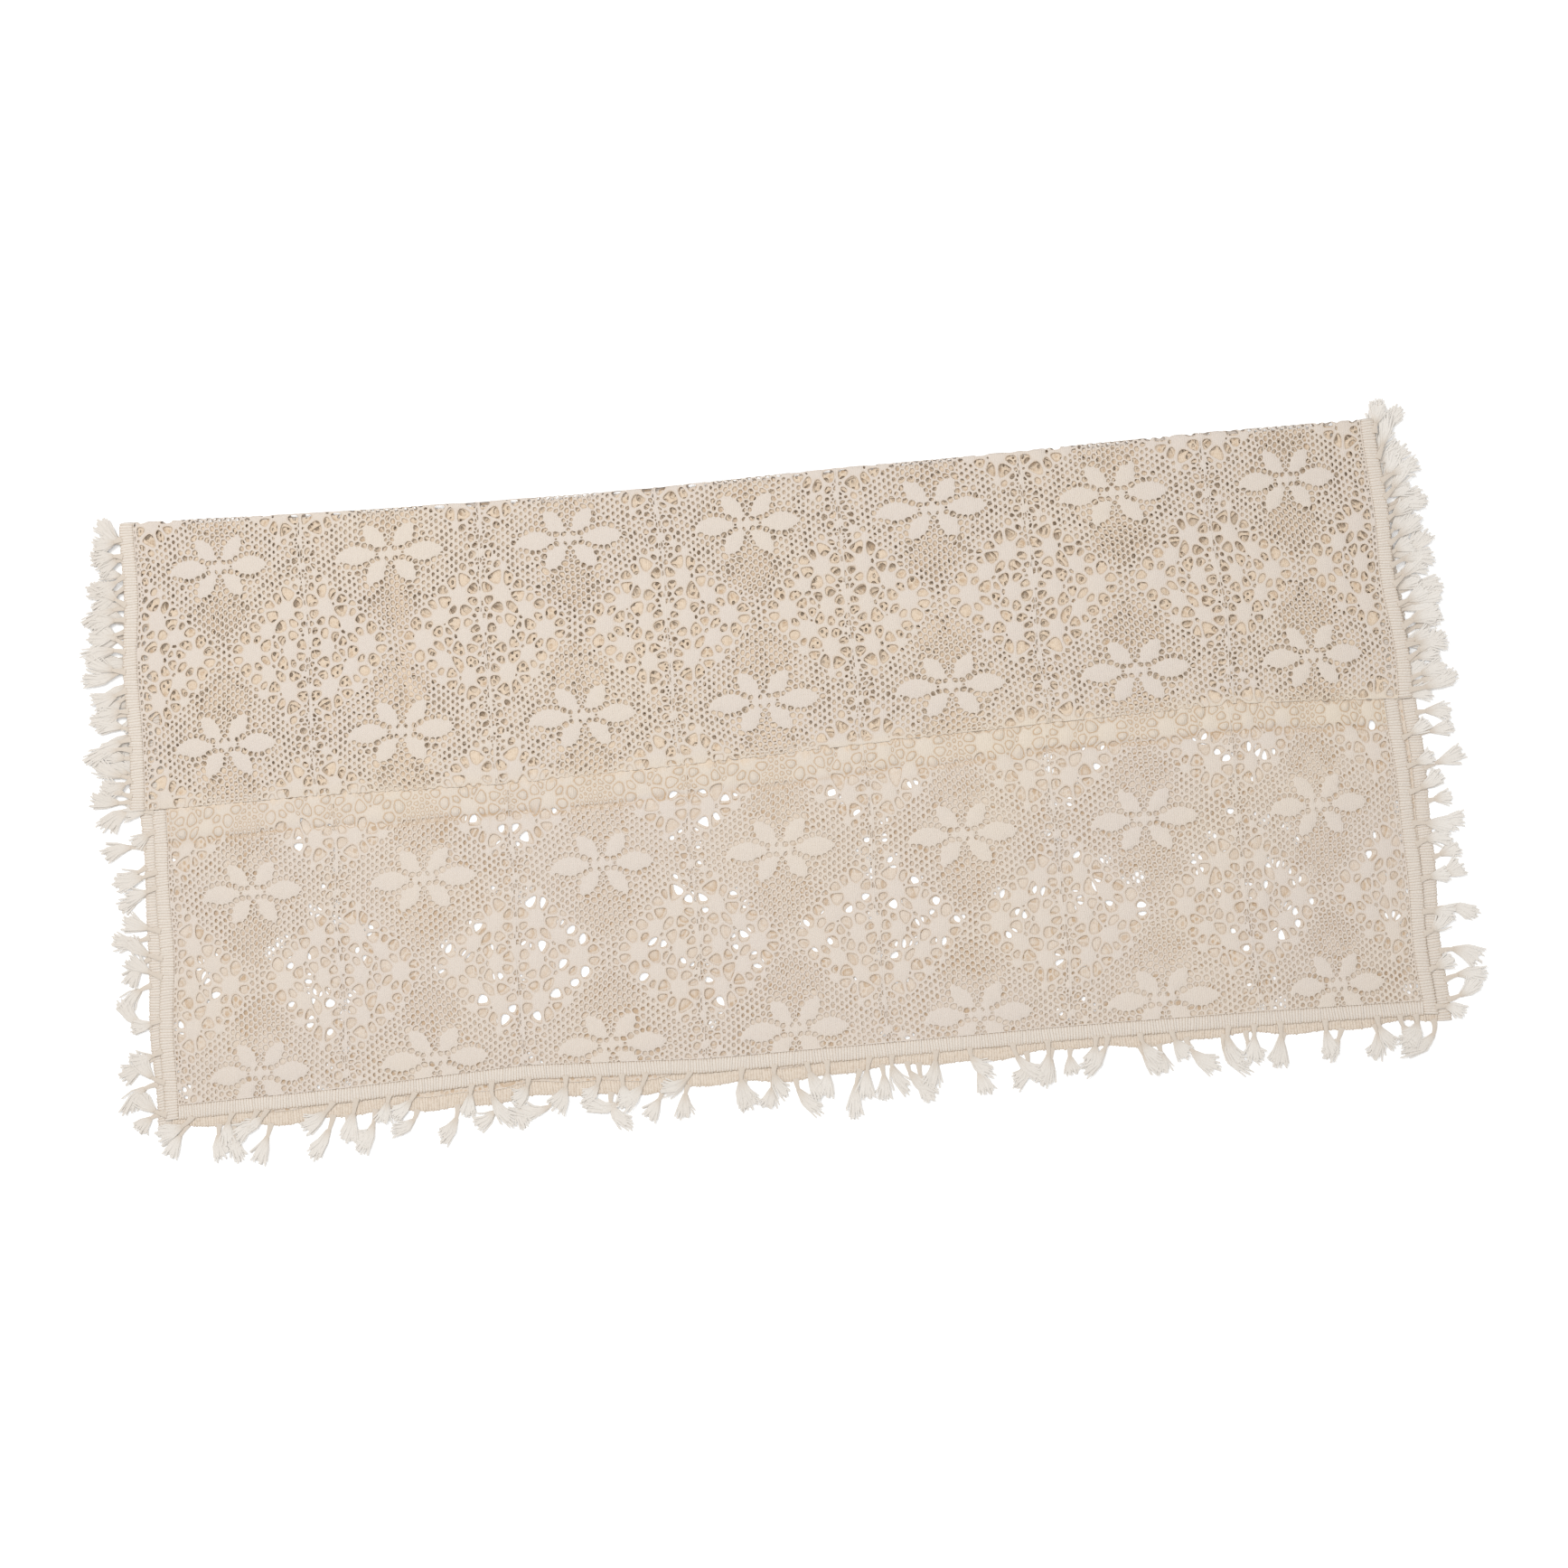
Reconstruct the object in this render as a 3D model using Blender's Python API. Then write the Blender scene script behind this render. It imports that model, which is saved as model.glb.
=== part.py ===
"""A folded openwork tablecloth with a gimp braid and a tassel fringe.

Metres, +Z up. Seven lace strips are sewn side by side into a cloth of about
0.90 x 1.28 m, and a braid and a fringe run round its edge. The cloth lies
folded across its length into a flat packet. X runs along the folds, +Y points
to the top fold and -Y to the two hems. The origin is in the middle of the
flat underside.

From the surface upwards the layers are:
  back    from the back hem up to the top fold, lying on the surface
  front   from the inner fold down to the front hem, lying on the back layer
  under   from the middle fold up to the inner fold
  flap    from the top fold down to the middle fold, the uppermost layer
"""

import math
from collections import namedtuple

import bmesh
import bpy
from mathutils import Vector

# Cloth
THICKNESS = 0.0015
LAYER_GAP = 0.0007
LAYER_PITCH = THICKNESS + LAYER_GAP
PIECE_GAP = 0.0003

# Trimming
BRAID_WIDTH = 0.0100
SPINE_WIDTH = 0.0020
TASSEL_PITCH = 0.0240
NECK_WIDTH = 0.0040
NECK_LENGTH = 0.0140
TUFT_WIDTH = 0.0110
TUFT_LENGTH = 0.0160
FIRST_TASSEL = 0.0120

# Heights of the four layers' middles above the surface
BACK_Z = THICKNESS / 2
FRONT_Z = BACK_Z + LAYER_PITCH
UNDER_Z = FRONT_Z + LAYER_PITCH
FLAP_Z = UNDER_Z + LAYER_PITCH

# Turn radii of the cloth's middle, and the sides of each faceted half turn
TOP_TURN = (FLAP_Z - BACK_Z) / 2
TIGHT_TURN = LAYER_PITCH / 2
TOP_SIDES = 8
TIGHT_SIDES = 4

# Widths of the lace strips from left to right
STRIP_WIDTHS = (0.1195, 0.1265, 0.1290, 0.1290, 0.1320, 0.1315, 0.1150)

# One row for each line between strips, left edge to right edge: where the cloth
# folds and ends along it, as Y. The hems are the braid's outer edges.
SeamLine = namedtuple("SeamLine", "top_fold middle_fold front_hem back_hem")
SEAM_LINES = (
    SeamLine(0.2172, 0.0084, -0.2110, -0.2180),
    SeamLine(0.2137, 0.0089, -0.2085, -0.2190),
    SeamLine(0.2114, 0.0064, -0.2028, -0.2170),
    SeamLine(0.2114, 0.0090, -0.2088, -0.2190),
    SeamLine(0.2146, 0.0135, -0.2081, -0.2160),
    SeamLine(0.2158, 0.0177, -0.2069, -0.2140),
    SeamLine(0.2185, 0.0206, -0.2078, -0.2140),
    SeamLine(0.2185, 0.0150, -0.2097, -0.2150),
)

# One row for each place along the folded length: the X of the braid's outer
# edges there. The layers don't lie quite square on each other.
Edges = namedtuple("Edges", "left right")
BACK_HEM = Edges(-0.4550, 0.4620)
BACK_MIDDLE = Edges(-0.4520, 0.4620)
TOP_FOLD = Edges(-0.4530, 0.4490)
MIDDLE_FOLD = Edges(-0.4580, 0.4590)
INNER_FOLD = Edges(-0.4500, 0.4470)
FRONT_MIDDLE = Edges(-0.4430, 0.4490)
FRONT_HEM = Edges(-0.4490, 0.4530)

# A place along the folded length: the edges there, and Y and Z of the cloth
Station = namedtuple("Station", "edges y z")


def seam_fractions():
    """How far each line between strips lies from the left edge to the right, 0 to 1."""
    cloth_width = sum(STRIP_WIDTHS) + 2 * BRAID_WIDTH
    ends = [BRAID_WIDTH + sum(STRIP_WIDTHS[:count]) for count in range(len(SEAM_LINES))]
    return [end / cloth_width for end in ends]


def across(edges, fraction):
    """The X at a fraction of the way from the left edge to the right."""
    return edges.left + fraction * (edges.right - edges.left)


def side_fractions(side):
    """The fractions of one side's outer edge and of the braid's inner edge there."""
    marks = seam_fractions()
    return (0.0, marks[0]) if side < 0 else (1.0, marks[-1])


def seam_line_at(fraction):
    """The folds and hems at a fraction of the way across, between two rows."""
    marks = seam_fractions()
    last = len(marks) - 2
    index = next((i for i in range(last) if fraction <= marks[i + 1]), last)
    share = (fraction - marks[index]) / (marks[index + 1] - marks[index])
    pairs = zip(SEAM_LINES[index], SEAM_LINES[index + 1])
    return SeamLine(*[before + share * (after - before) for before, after in pairs])


def half_turn(edges, fold_y, low_z, high_z, sides, upwards, towards_top):
    """The stations of one faceted fold, whose outermost point is at fold_y."""
    radius = (high_z - low_z) / 2
    outward = 1 if towards_top else -1
    centre_y = fold_y - outward * (radius + THICKNESS / 2)
    stations = []
    for step in range(sides + 1):
        angle = math.pi * (step / sides - 0.5)
        rise = radius * math.sin(angle) * (1 if upwards else -1)
        reach = outward * radius * math.cos(angle)
        stations.append(Station(edges, centre_y + reach, (low_z + high_z) / 2 + rise))
    return stations


def folded_run(line, hem_inset=0.0):
    """The cloth's middle along its whole folded length, from hem to hem."""
    nested_fold = line.top_fold - (TOP_TURN - TIGHT_TURN)
    return [
        Station(BACK_HEM, line.back_hem + hem_inset, BACK_Z),
        Station(BACK_MIDDLE, line.middle_fold, BACK_Z),
        *half_turn(TOP_FOLD, line.top_fold, BACK_Z, FLAP_Z, TOP_SIDES, True, True),
        *half_turn(MIDDLE_FOLD, line.middle_fold, UNDER_Z, FLAP_Z, TIGHT_SIDES, False, False),
        *half_turn(INNER_FOLD, nested_fold, FRONT_Z, UNDER_Z, TIGHT_SIDES, False, True),
        Station(FRONT_MIDDLE, line.middle_fold, FRONT_Z),
        Station(FRONT_HEM, line.front_hem + hem_inset, FRONT_Z),
    ]


def place_grid(bm, points):
    """A grid of quads whose corners are the given rows of points."""
    rows, columns = len(points), len(points[0])
    bmesh.ops.create_grid(bm, x_segments=columns - 1, y_segments=rows - 1, size=0.5)
    grid = [[None] * columns for _ in range(rows)]
    for vertex in bm.verts:
        row = round((vertex.co.y + 0.5) * (rows - 1))
        column = round((vertex.co.x + 0.5) * (columns - 1))
        grid[row][column] = vertex
    for row in range(rows):
        for column in range(columns):
            grid[row][column].co = points[row][column]
    return grid


def add_tassel(bm, edge, outward):
    """One flat tassel of the comb: a narrow neck, then the flared tuft."""
    for length, width in ((NECK_LENGTH, NECK_WIDTH), (TUFT_LENGTH, TUFT_WIDTH)):
        made = bmesh.ops.extrude_edge_only(bm, edges=[edge])["geom"]
        edge = next(item for item in made if isinstance(item, bmesh.types.BMEdge))
        start, end = edge.verts
        middle = (start.co + end.co) / 2
        half_edge = (end.co - start.co).normalized() * width / 2
        start.co = middle - half_edge + outward * length
        end.co = middle + half_edge + outward * length


def cotton(name, colour, roughness):
    """A matt cotton material of one colour."""
    material = bpy.data.materials.new(name)
    material.use_nodes = True
    shader = material.node_tree.nodes["Principled BSDF"]
    shader.inputs["Base Color"].default_value = (*colour, 1.0)
    shader.inputs["Roughness"].default_value = roughness
    shader.inputs["Metallic"].default_value = 0.0
    return material


def finish_sheet(bm, name, material, cloth):
    """Turns a sheet into an object of the cloth's thickness."""
    mesh = bpy.data.meshes.new(name)
    bm.to_mesh(mesh)
    bm.free()
    mesh.materials.append(material)
    sheet = bpy.data.objects.new(name, mesh)
    bpy.context.scene.collection.objects.link(sheet)
    sheet.parent = cloth
    solidify = sheet.modifiers.new("Cloth thickness", "SOLIDIFY")
    solidify.thickness = THICKNESS
    solidify.offset = 0.0
    solidify.use_even_offset = True
    return sheet


def make_strip(number, material, cloth):
    """One lace strip, folded from hem to hem."""
    marks = seam_fractions()
    first, last = marks[number - 1], marks[number]
    ways_across = (
        (first, PIECE_GAP / 2),
        ((first + last) / 2, 0.0),
        (last, -PIECE_GAP / 2),
    )
    hem_inset = BRAID_WIDTH + PIECE_GAP
    columns = []
    for fraction, shift in ways_across:
        run = folded_run(seam_line_at(fraction), hem_inset)
        columns.append([Vector((across(at.edges, fraction) + shift, at.y, at.z)) for at in run])
    bm = bmesh.new()
    place_grid(bm, list(zip(*columns)))
    finish_sheet(bm, f"lace_strip_{number}", material, cloth)


def make_side_braid(name, line, side, material, cloth):
    """The braid down one side edge; side is -1 on the left, 1 on the right."""
    outer, inner = side_fractions(side)
    rows = []
    for at in folded_run(line):
        reach = across(at.edges, outer), across(at.edges, inner) + side * PIECE_GAP
        rows.append([Vector((x, at.y, at.z)) for x in reach])
    bm = bmesh.new()
    place_grid(bm, rows)
    finish_sheet(bm, name, material, cloth)


def tassel_spots(length):
    """Where tassels start and end along a run of this length."""
    count = int((length - 2 * FIRST_TASSEL) / TASSEL_PITCH) + 1
    first = (length - (count - 1) * TASSEL_PITCH) / 2
    middles = [first + index * TASSEL_PITCH for index in range(count)]
    return [(middle - NECK_WIDTH / 2, middle + NECK_WIDTH / 2) for middle in middles]


def with_tassel_rows(points):
    """Adds rows for the tassels to a comb's flat runs.

    points is a list of places along the comb. Returns the longer list, and the
    numbers of the places where a tassel's neck starts.
    """
    placed, necks = [points[0]], []
    for before, after in zip(points, points[1:]):
        length = (after - before).length
        if length > 2 * FIRST_TASSEL + TASSEL_PITCH:
            for start, end in tassel_spots(length):
                necks.append(len(placed))
                placed.append(before.lerp(after, start / length))
                placed.append(before.lerp(after, end / length))
        placed.append(after)
    return placed, necks


def make_comb(name, points, outward, material, cloth):
    """A fringe: a narrow heading along the braid, with tassels on its outer side."""
    placed, necks = with_tassel_rows(points)
    near, far = outward * PIECE_GAP, outward * (PIECE_GAP + SPINE_WIDTH)
    bm = bmesh.new()
    grid = place_grid(bm, [[point + near, point + far] for point in placed])
    outer_edges = [bm.edges.get((grid[row][1], grid[row + 1][1])) for row in necks]
    for edge in outer_edges:
        add_tassel(bm, edge, outward)
    bmesh.ops.recalc_face_normals(bm, faces=bm.faces)
    finish_sheet(bm, name, material, cloth)


def make_side_fringe(name, line, side, material, cloth):
    """The fringe down one side edge, folded with the cloth."""
    outer, _ = side_fractions(side)
    points = [Vector((across(at.edges, outer), at.y, at.z)) for at in folded_run(line)]
    make_comb(name, points, Vector((side, 0, 0)), material, cloth)


def hem_points(edges, hem, height):
    """A hem's outer edge, as one point for each line between strips."""
    return [
        Vector((across(edges, fraction), getattr(line, hem), height))
        for fraction, line in zip(seam_fractions(), SEAM_LINES)
    ]


def make_hem_braid(name, edges, hem, height, material, cloth):
    """The braid along one hem, between the two side braids."""
    points = hem_points(edges, hem, height)
    inner_edge = Vector((0, BRAID_WIDTH, 0))
    bm = bmesh.new()
    place_grid(bm, [[point, point + inner_edge] for point in points])
    finish_sheet(bm, name, material, cloth)


def make_hem_fringe(name, edges, hem, height, material, cloth):
    """The fringe along one hem, which runs on below the two side braids."""
    points = hem_points(edges, hem, height)
    left_end = Vector((edges.left, points[0].y, height))
    right_end = Vector((edges.right, points[-1].y, height))
    points = [left_end, *points, right_end]
    make_comb(name, points, Vector((0, -1, 0)), material, cloth)


def build():
    for old in list(bpy.data.objects):
        bpy.data.objects.remove(old)

    cloth = bpy.data.objects.new("tablecloth", None)
    bpy.context.scene.collection.objects.link(cloth)
    lace = cotton("lace_cotton", (0.78, 0.71, 0.61), 0.90)
    braid = cotton("braid_cotton", (0.82, 0.77, 0.68), 0.80)
    tassel = cotton("tassel_cotton", (0.82, 0.78, 0.70), 0.85)

    for number in range(1, len(STRIP_WIDTHS) + 1):
        make_strip(number, lace, cloth)
    for side, word, line in ((-1, "left", SEAM_LINES[0]), (1, "right", SEAM_LINES[-1])):
        make_side_braid(f"braid_{word}", line, side, braid, cloth)
        make_side_fringe(f"fringe_{word}", line, side, tassel, cloth)
    for word, edges, height in (("back", BACK_HEM, BACK_Z), ("front", FRONT_HEM, FRONT_Z)):
        hem = f"{word}_hem"
        make_hem_braid(f"braid_{hem}", edges, hem, height, braid, cloth)
        make_hem_fringe(f"fringe_{hem}", edges, hem, height, tassel, cloth)


build()
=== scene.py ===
# %% [markdown]
# # A folded openwork tablecloth
# Seven strips of machine-made lace are sewn side by side, a ribbed gimp braid
# runs round the edge and small tassels hang from it. The cloth lies folded
# into a flat packet: four layers in its far half and two in its near half.
# The CAD model gives the packet's size and its folds. Here each plain solid
# gets the real surface: open lace, ribs and threads.

# %% Load the frame
import math
import random
from collections import namedtuple

import bmesh
import bpy
import numpy as np
from mathutils import Matrix, Vector, geometry


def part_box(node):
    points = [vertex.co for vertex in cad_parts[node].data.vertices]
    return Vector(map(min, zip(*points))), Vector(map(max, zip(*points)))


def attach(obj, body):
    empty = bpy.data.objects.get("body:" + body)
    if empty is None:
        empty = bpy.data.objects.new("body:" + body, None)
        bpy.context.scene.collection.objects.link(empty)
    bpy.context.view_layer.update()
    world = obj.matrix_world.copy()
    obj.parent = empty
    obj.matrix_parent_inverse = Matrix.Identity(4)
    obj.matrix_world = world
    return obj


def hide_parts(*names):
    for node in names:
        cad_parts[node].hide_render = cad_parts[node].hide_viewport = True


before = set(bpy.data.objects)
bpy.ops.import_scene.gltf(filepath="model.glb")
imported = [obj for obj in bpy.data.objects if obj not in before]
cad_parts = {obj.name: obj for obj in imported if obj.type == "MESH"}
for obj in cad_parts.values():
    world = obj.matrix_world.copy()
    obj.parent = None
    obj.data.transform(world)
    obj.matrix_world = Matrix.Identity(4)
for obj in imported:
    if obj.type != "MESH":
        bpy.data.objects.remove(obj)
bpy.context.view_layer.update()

# %% [markdown]
# ## Camera
# A folded cloth is best shown from above. The camera looks almost straight
# down, a little from the hem side, and is rolled so that the folds rise to
# the right. Its three directions, sideways, up and back, are the columns of
# its rotation, so they are worked out first and put into one matrix.

# %% Camera
VIEW_WIDTH = 1.1156
VIEW_DISTANCE = 2.00
VIEW_TILT = math.radians(4.5)
VIEW_ROLL = math.radians(4.72)
AIM = Vector((0.0066, -0.0094, 0.003))

camera_data = bpy.data.cameras.new("camera")
camera_data.lens = camera_data.sensor_width * VIEW_DISTANCE / VIEW_WIDTH
camera = bpy.data.objects.new("camera", camera_data)
bpy.context.scene.collection.objects.link(camera)
backwards = Vector((0, -math.sin(VIEW_TILT), math.cos(VIEW_TILT)))
upwards = Vector((0, math.cos(VIEW_TILT), math.sin(VIEW_TILT)))
upwards = Matrix.Rotation(-VIEW_ROLL, 3, backwards) @ upwards
sideways = upwards.cross(backwards)
turned = Matrix((sideways, upwards, backwards)).transposed().to_4x4()
camera.matrix_world = Matrix.Translation(AIM + backwards * VIEW_DISTANCE) @ turned
bpy.context.scene.camera = camera
print(f"camera {VIEW_DISTANCE} m away, lens {camera_data.lens:.1f} mm")

# %% [markdown]
# ## Floor and light
# Lace is read by the light in its holes. A wide lamp overhead reaches down
# into them, a second one from the far left gives the threads and tassels
# their faint shadows, and an even sky fills the rest. The floor is nearly
# white, and shows through wherever the holes of the layers meet.

# %% World and lamps
SKY_STRENGTH = 0.48
# Name, place, width in metres and power in watts
LAMPS = (
    ("window", Vector((-0.80, 0.75, 2.20)), 1.1, 29.3),
    ("ceiling", Vector((0.15, -0.20, 3.00)), 1.6, 38.5),
)

bpy.context.scene.view_settings.view_transform = "Standard"
world = bpy.data.worlds.new("studio")
world.use_nodes = True
world.node_tree.nodes["Background"].inputs["Color"].default_value = (1.0, 1.0, 1.0, 1.0)
world.node_tree.nodes["Background"].inputs["Strength"].default_value = SKY_STRENGTH
bpy.context.scene.world = world

for name, place, size, power in LAMPS:
    lamp_data = bpy.data.lights.new(name, "AREA")
    lamp_data.shape = "DISK"
    lamp_data.size = size
    lamp_data.energy = power
    lamp = bpy.data.objects.new(name, lamp_data)
    bpy.context.scene.collection.objects.link(lamp)
    lamp.location = place
    lamp.rotation_euler = place.to_track_quat("Z", "Y").to_euler()

# %% Floor
FLOOR_SIZE = 6.0
FLOOR_COLOUR = (0.97, 0.97, 0.97, 1.0)
FLOOR_GLOW = 0.03


def object_from(shape, name, finish=None):
    """Turns a bmesh into an object in the scene."""
    mesh = bpy.data.meshes.new(name)
    shape.to_mesh(mesh)
    shape.free()
    made = bpy.data.objects.new(name, mesh)
    bpy.context.scene.collection.objects.link(made)
    if finish:
        mesh.materials.append(finish)
    return made


floor_paint = bpy.data.materials.new("floor_paint")
floor_paint.use_nodes = True
floor_sockets = floor_paint.node_tree.nodes["Principled BSDF"].inputs
floor_sockets["Base Color"].default_value = FLOOR_COLOUR
floor_sockets["Roughness"].default_value = 0.9
floor_sockets["Emission Color"].default_value = (1.0, 1.0, 1.0, 1.0)
floor_sockets["Emission Strength"].default_value = FLOOR_GLOW
floor_shape = bmesh.new()
bmesh.ops.create_grid(floor_shape, x_segments=1, y_segments=1, size=FLOOR_SIZE / 2)
floor = object_from(floor_shape, "floor", floor_paint)

# %% [markdown]
# ## The folds
# A cloth is easiest to make flat and is wanted folded, so every thread is made
# on the flat cloth and then laid on the folds by one function. The function
# takes how far across the cloth a point is, 0 at the left edge and 1 at the
# right, and how far along it is, in repeats of the lace. The tables say where
# the folds lie. They are the CAD model's own, and the boxes printed here set
# the two side by side.

# %% Where the cloth folds
THICKNESS = 0.0015
LAYER_PITCH = 0.0022
FLOOR_GAP = 0.00015
BRAID_WIDTH = 0.0100
STRIP_WIDTHS = (0.1195, 0.1265, 0.1290, 0.1290, 0.1320, 0.1315, 0.1150)

SeamLine = namedtuple("SeamLine", "top_fold middle_fold front_hem back_hem")
SEAM_LINES = (
    SeamLine(0.2172, 0.0084, -0.2110, -0.2180),
    SeamLine(0.2137, 0.0089, -0.2085, -0.2190),
    SeamLine(0.2114, 0.0064, -0.2028, -0.2170),
    SeamLine(0.2114, 0.0090, -0.2088, -0.2190),
    SeamLine(0.2146, 0.0135, -0.2081, -0.2160),
    SeamLine(0.2158, 0.0177, -0.2069, -0.2140),
    SeamLine(0.2185, 0.0206, -0.2078, -0.2140),
    SeamLine(0.2185, 0.0150, -0.2097, -0.2150),
)
Edges = namedtuple("Edges", "left right")
BACK_HEM = Edges(-0.4550, 0.4620)
BACK_MIDDLE = Edges(-0.4520, 0.4620)
TOP_FOLD = Edges(-0.4530, 0.4490)
MIDDLE_FOLD = Edges(-0.4580, 0.4590)
INNER_FOLD = Edges(-0.4500, 0.4470)
FRONT_MIDDLE = Edges(-0.4430, 0.4490)
FRONT_HEM = Edges(-0.4490, 0.4530)

CLOTH_WIDTH = sum(STRIP_WIDTHS) + 2 * BRAID_WIDTH
SEAM_MARKS = [(BRAID_WIDTH + sum(STRIP_WIDTHS[:count])) / CLOTH_WIDTH for count in range(8)]

BACK_Z = THICKNESS / 2
FRONT_Z = BACK_Z + LAYER_PITCH
UNDER_Z = FRONT_Z + LAYER_PITCH
FLAP_Z = UNDER_Z + LAYER_PITCH
TOP_TURN = (FLAP_Z - BACK_Z) / 2
TIGHT_TURN = LAYER_PITCH / 2

for number in (1, 4, 7):
    _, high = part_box(f"lace_strip_{number}")
    folds = [line.top_fold for line in SEAM_LINES[number - 1:number + 1]]
    print(f"strip {number}: CAD top fold {high[1]:.4f}, table {max(folds):.4f}")

# %% [markdown]
# The lace is counted in repeats. On the front layer repeat 0 has its flower
# below the middle of the packet, and on the flap repeat 4 has its flower just
# above the middle fold. The layers hidden between them take up the slack. The
# back layer is drawn out a little in its hidden half, so that its flowers come
# to lie between those in front.

# %% Marks along the cloth
REPEAT = 0.1280
FRONT_ROW_Y = -0.0553
FLAP_ROW_Y = 0.0508
FLAP_ROW = 4
DRAWN_OUT = 0.0440
DRAWN_LENGTH = 0.1900

Marks = namedtuple("Marks", "front_end under_start under_end flap_start flap_end back_start")


def between(pair, share):
    """A value this share of the way from one to the other."""
    return pair[0] + (pair[1] - pair[0]) * share


def seam_values(name, across):
    """One column of the fold table at these fractions of the width."""
    return np.interp(across, SEAM_MARKS, [getattr(line, name) for line in SEAM_LINES])


def turn_centres(across):
    """Y of the middle of the turns at the top folds and at the middle fold."""
    top = seam_values("top_fold", across) - TOP_TURN - THICKNESS / 2
    middle = seam_values("middle_fold", across) + TIGHT_TURN + THICKNESS / 2
    return top, middle


def fold_marks(across):
    """The starts and ends of the inner, middle and top turns, in repeats."""
    top, middle = turn_centres(across)
    tight, wide = math.pi * TIGHT_TURN / REPEAT, math.pi * TOP_TURN / REPEAT
    front_end = (top - FRONT_ROW_Y) / REPEAT
    flap_start = FLAP_ROW + (middle - FLAP_ROW_Y) / REPEAT
    flap_end = flap_start + (top - middle) / REPEAT
    return Marks(front_end, front_end + tight, flap_start - tight, flap_start,
                 flap_end, flap_end + wide)


def back_mark(across, y):
    """Where the cloth of the back layer lies at a height Y, in repeats."""
    top = turn_centres(across)[0]
    drawn = DRAWN_OUT * np.clip((top - y) / DRAWN_LENGTH, 0, 1)
    return fold_marks(across).back_start + (top - y - drawn) / REPEAT


def hem_mark(hem, across, inset):
    """Where a line at an inset from a hem's outer edge lies, in repeats."""
    edge_y = seam_values(f"{hem}_hem", across) + inset
    if hem == "front":
        return (edge_y - FRONT_ROW_Y) / REPEAT
    return back_mark(across, edge_y)


first_mark, last_mark = hem_mark("front", 0.5, 0), hem_mark("back", 0.5, 0)
cloth_length = (last_mark - first_mark) * REPEAT
print(f"the flat cloth is {CLOTH_WIDTH:.3f} m by {cloth_length:.3f} m")

# %% [markdown]
# Each stretch of the cloth has its own sum: a layer is straight and a turn is
# half a circle. Cloth that has lain folded is pressed, so its layers settle
# towards the floor, more so in the near half and most along the middle fold.
# It also waves a little, pulls out of true, and ripples along its back hem.

# %% Laying points of the flat cloth on the folds
HEM_HEIGHT, FOLD_HEIGHT, TOP_HEIGHT = -0.2100, 0.0125, 0.2110
NEAR_PRESSED, FAR_PRESSED = 0.42, 0.20
FOLD_PRESSED, PRESSED_REACH = 0.70, 0.026
WAVE, FINE_WAVE = 0.00022, 0.00014
DRIFT, FINE_DRIFT = 0.0009, 0.0006
RIPPLE = ((0.0016, 47), (0.0010, 113))
RIPPLE_START, RIPPLE_RUN = 0.30, 0.06


def waves(x, y, z):
    """The cloth's own slight waves, as a lift in metres."""
    broad = np.sin(x * 19 + z * 900) * np.sin(y * 27 + x * 9)
    fine = np.sin(x * 61 + y * 33 + z * 500) * np.sin(y * 74 - x * 18)
    return WAVE * broad + FINE_WAVE * fine


def drift(x, y, z):
    """How far the lace has pulled sideways out of true, in metres."""
    return DRIFT * np.sin(y * 38 + x * 21 + z * 700) + FINE_DRIFT * np.sin(y * 71 - x * 34)


def sway(values, parts):
    """A sum of sine waves, each given by its height and its pace."""
    return sum(height * np.sin(values * pace) for height, pace in parts)


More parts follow.
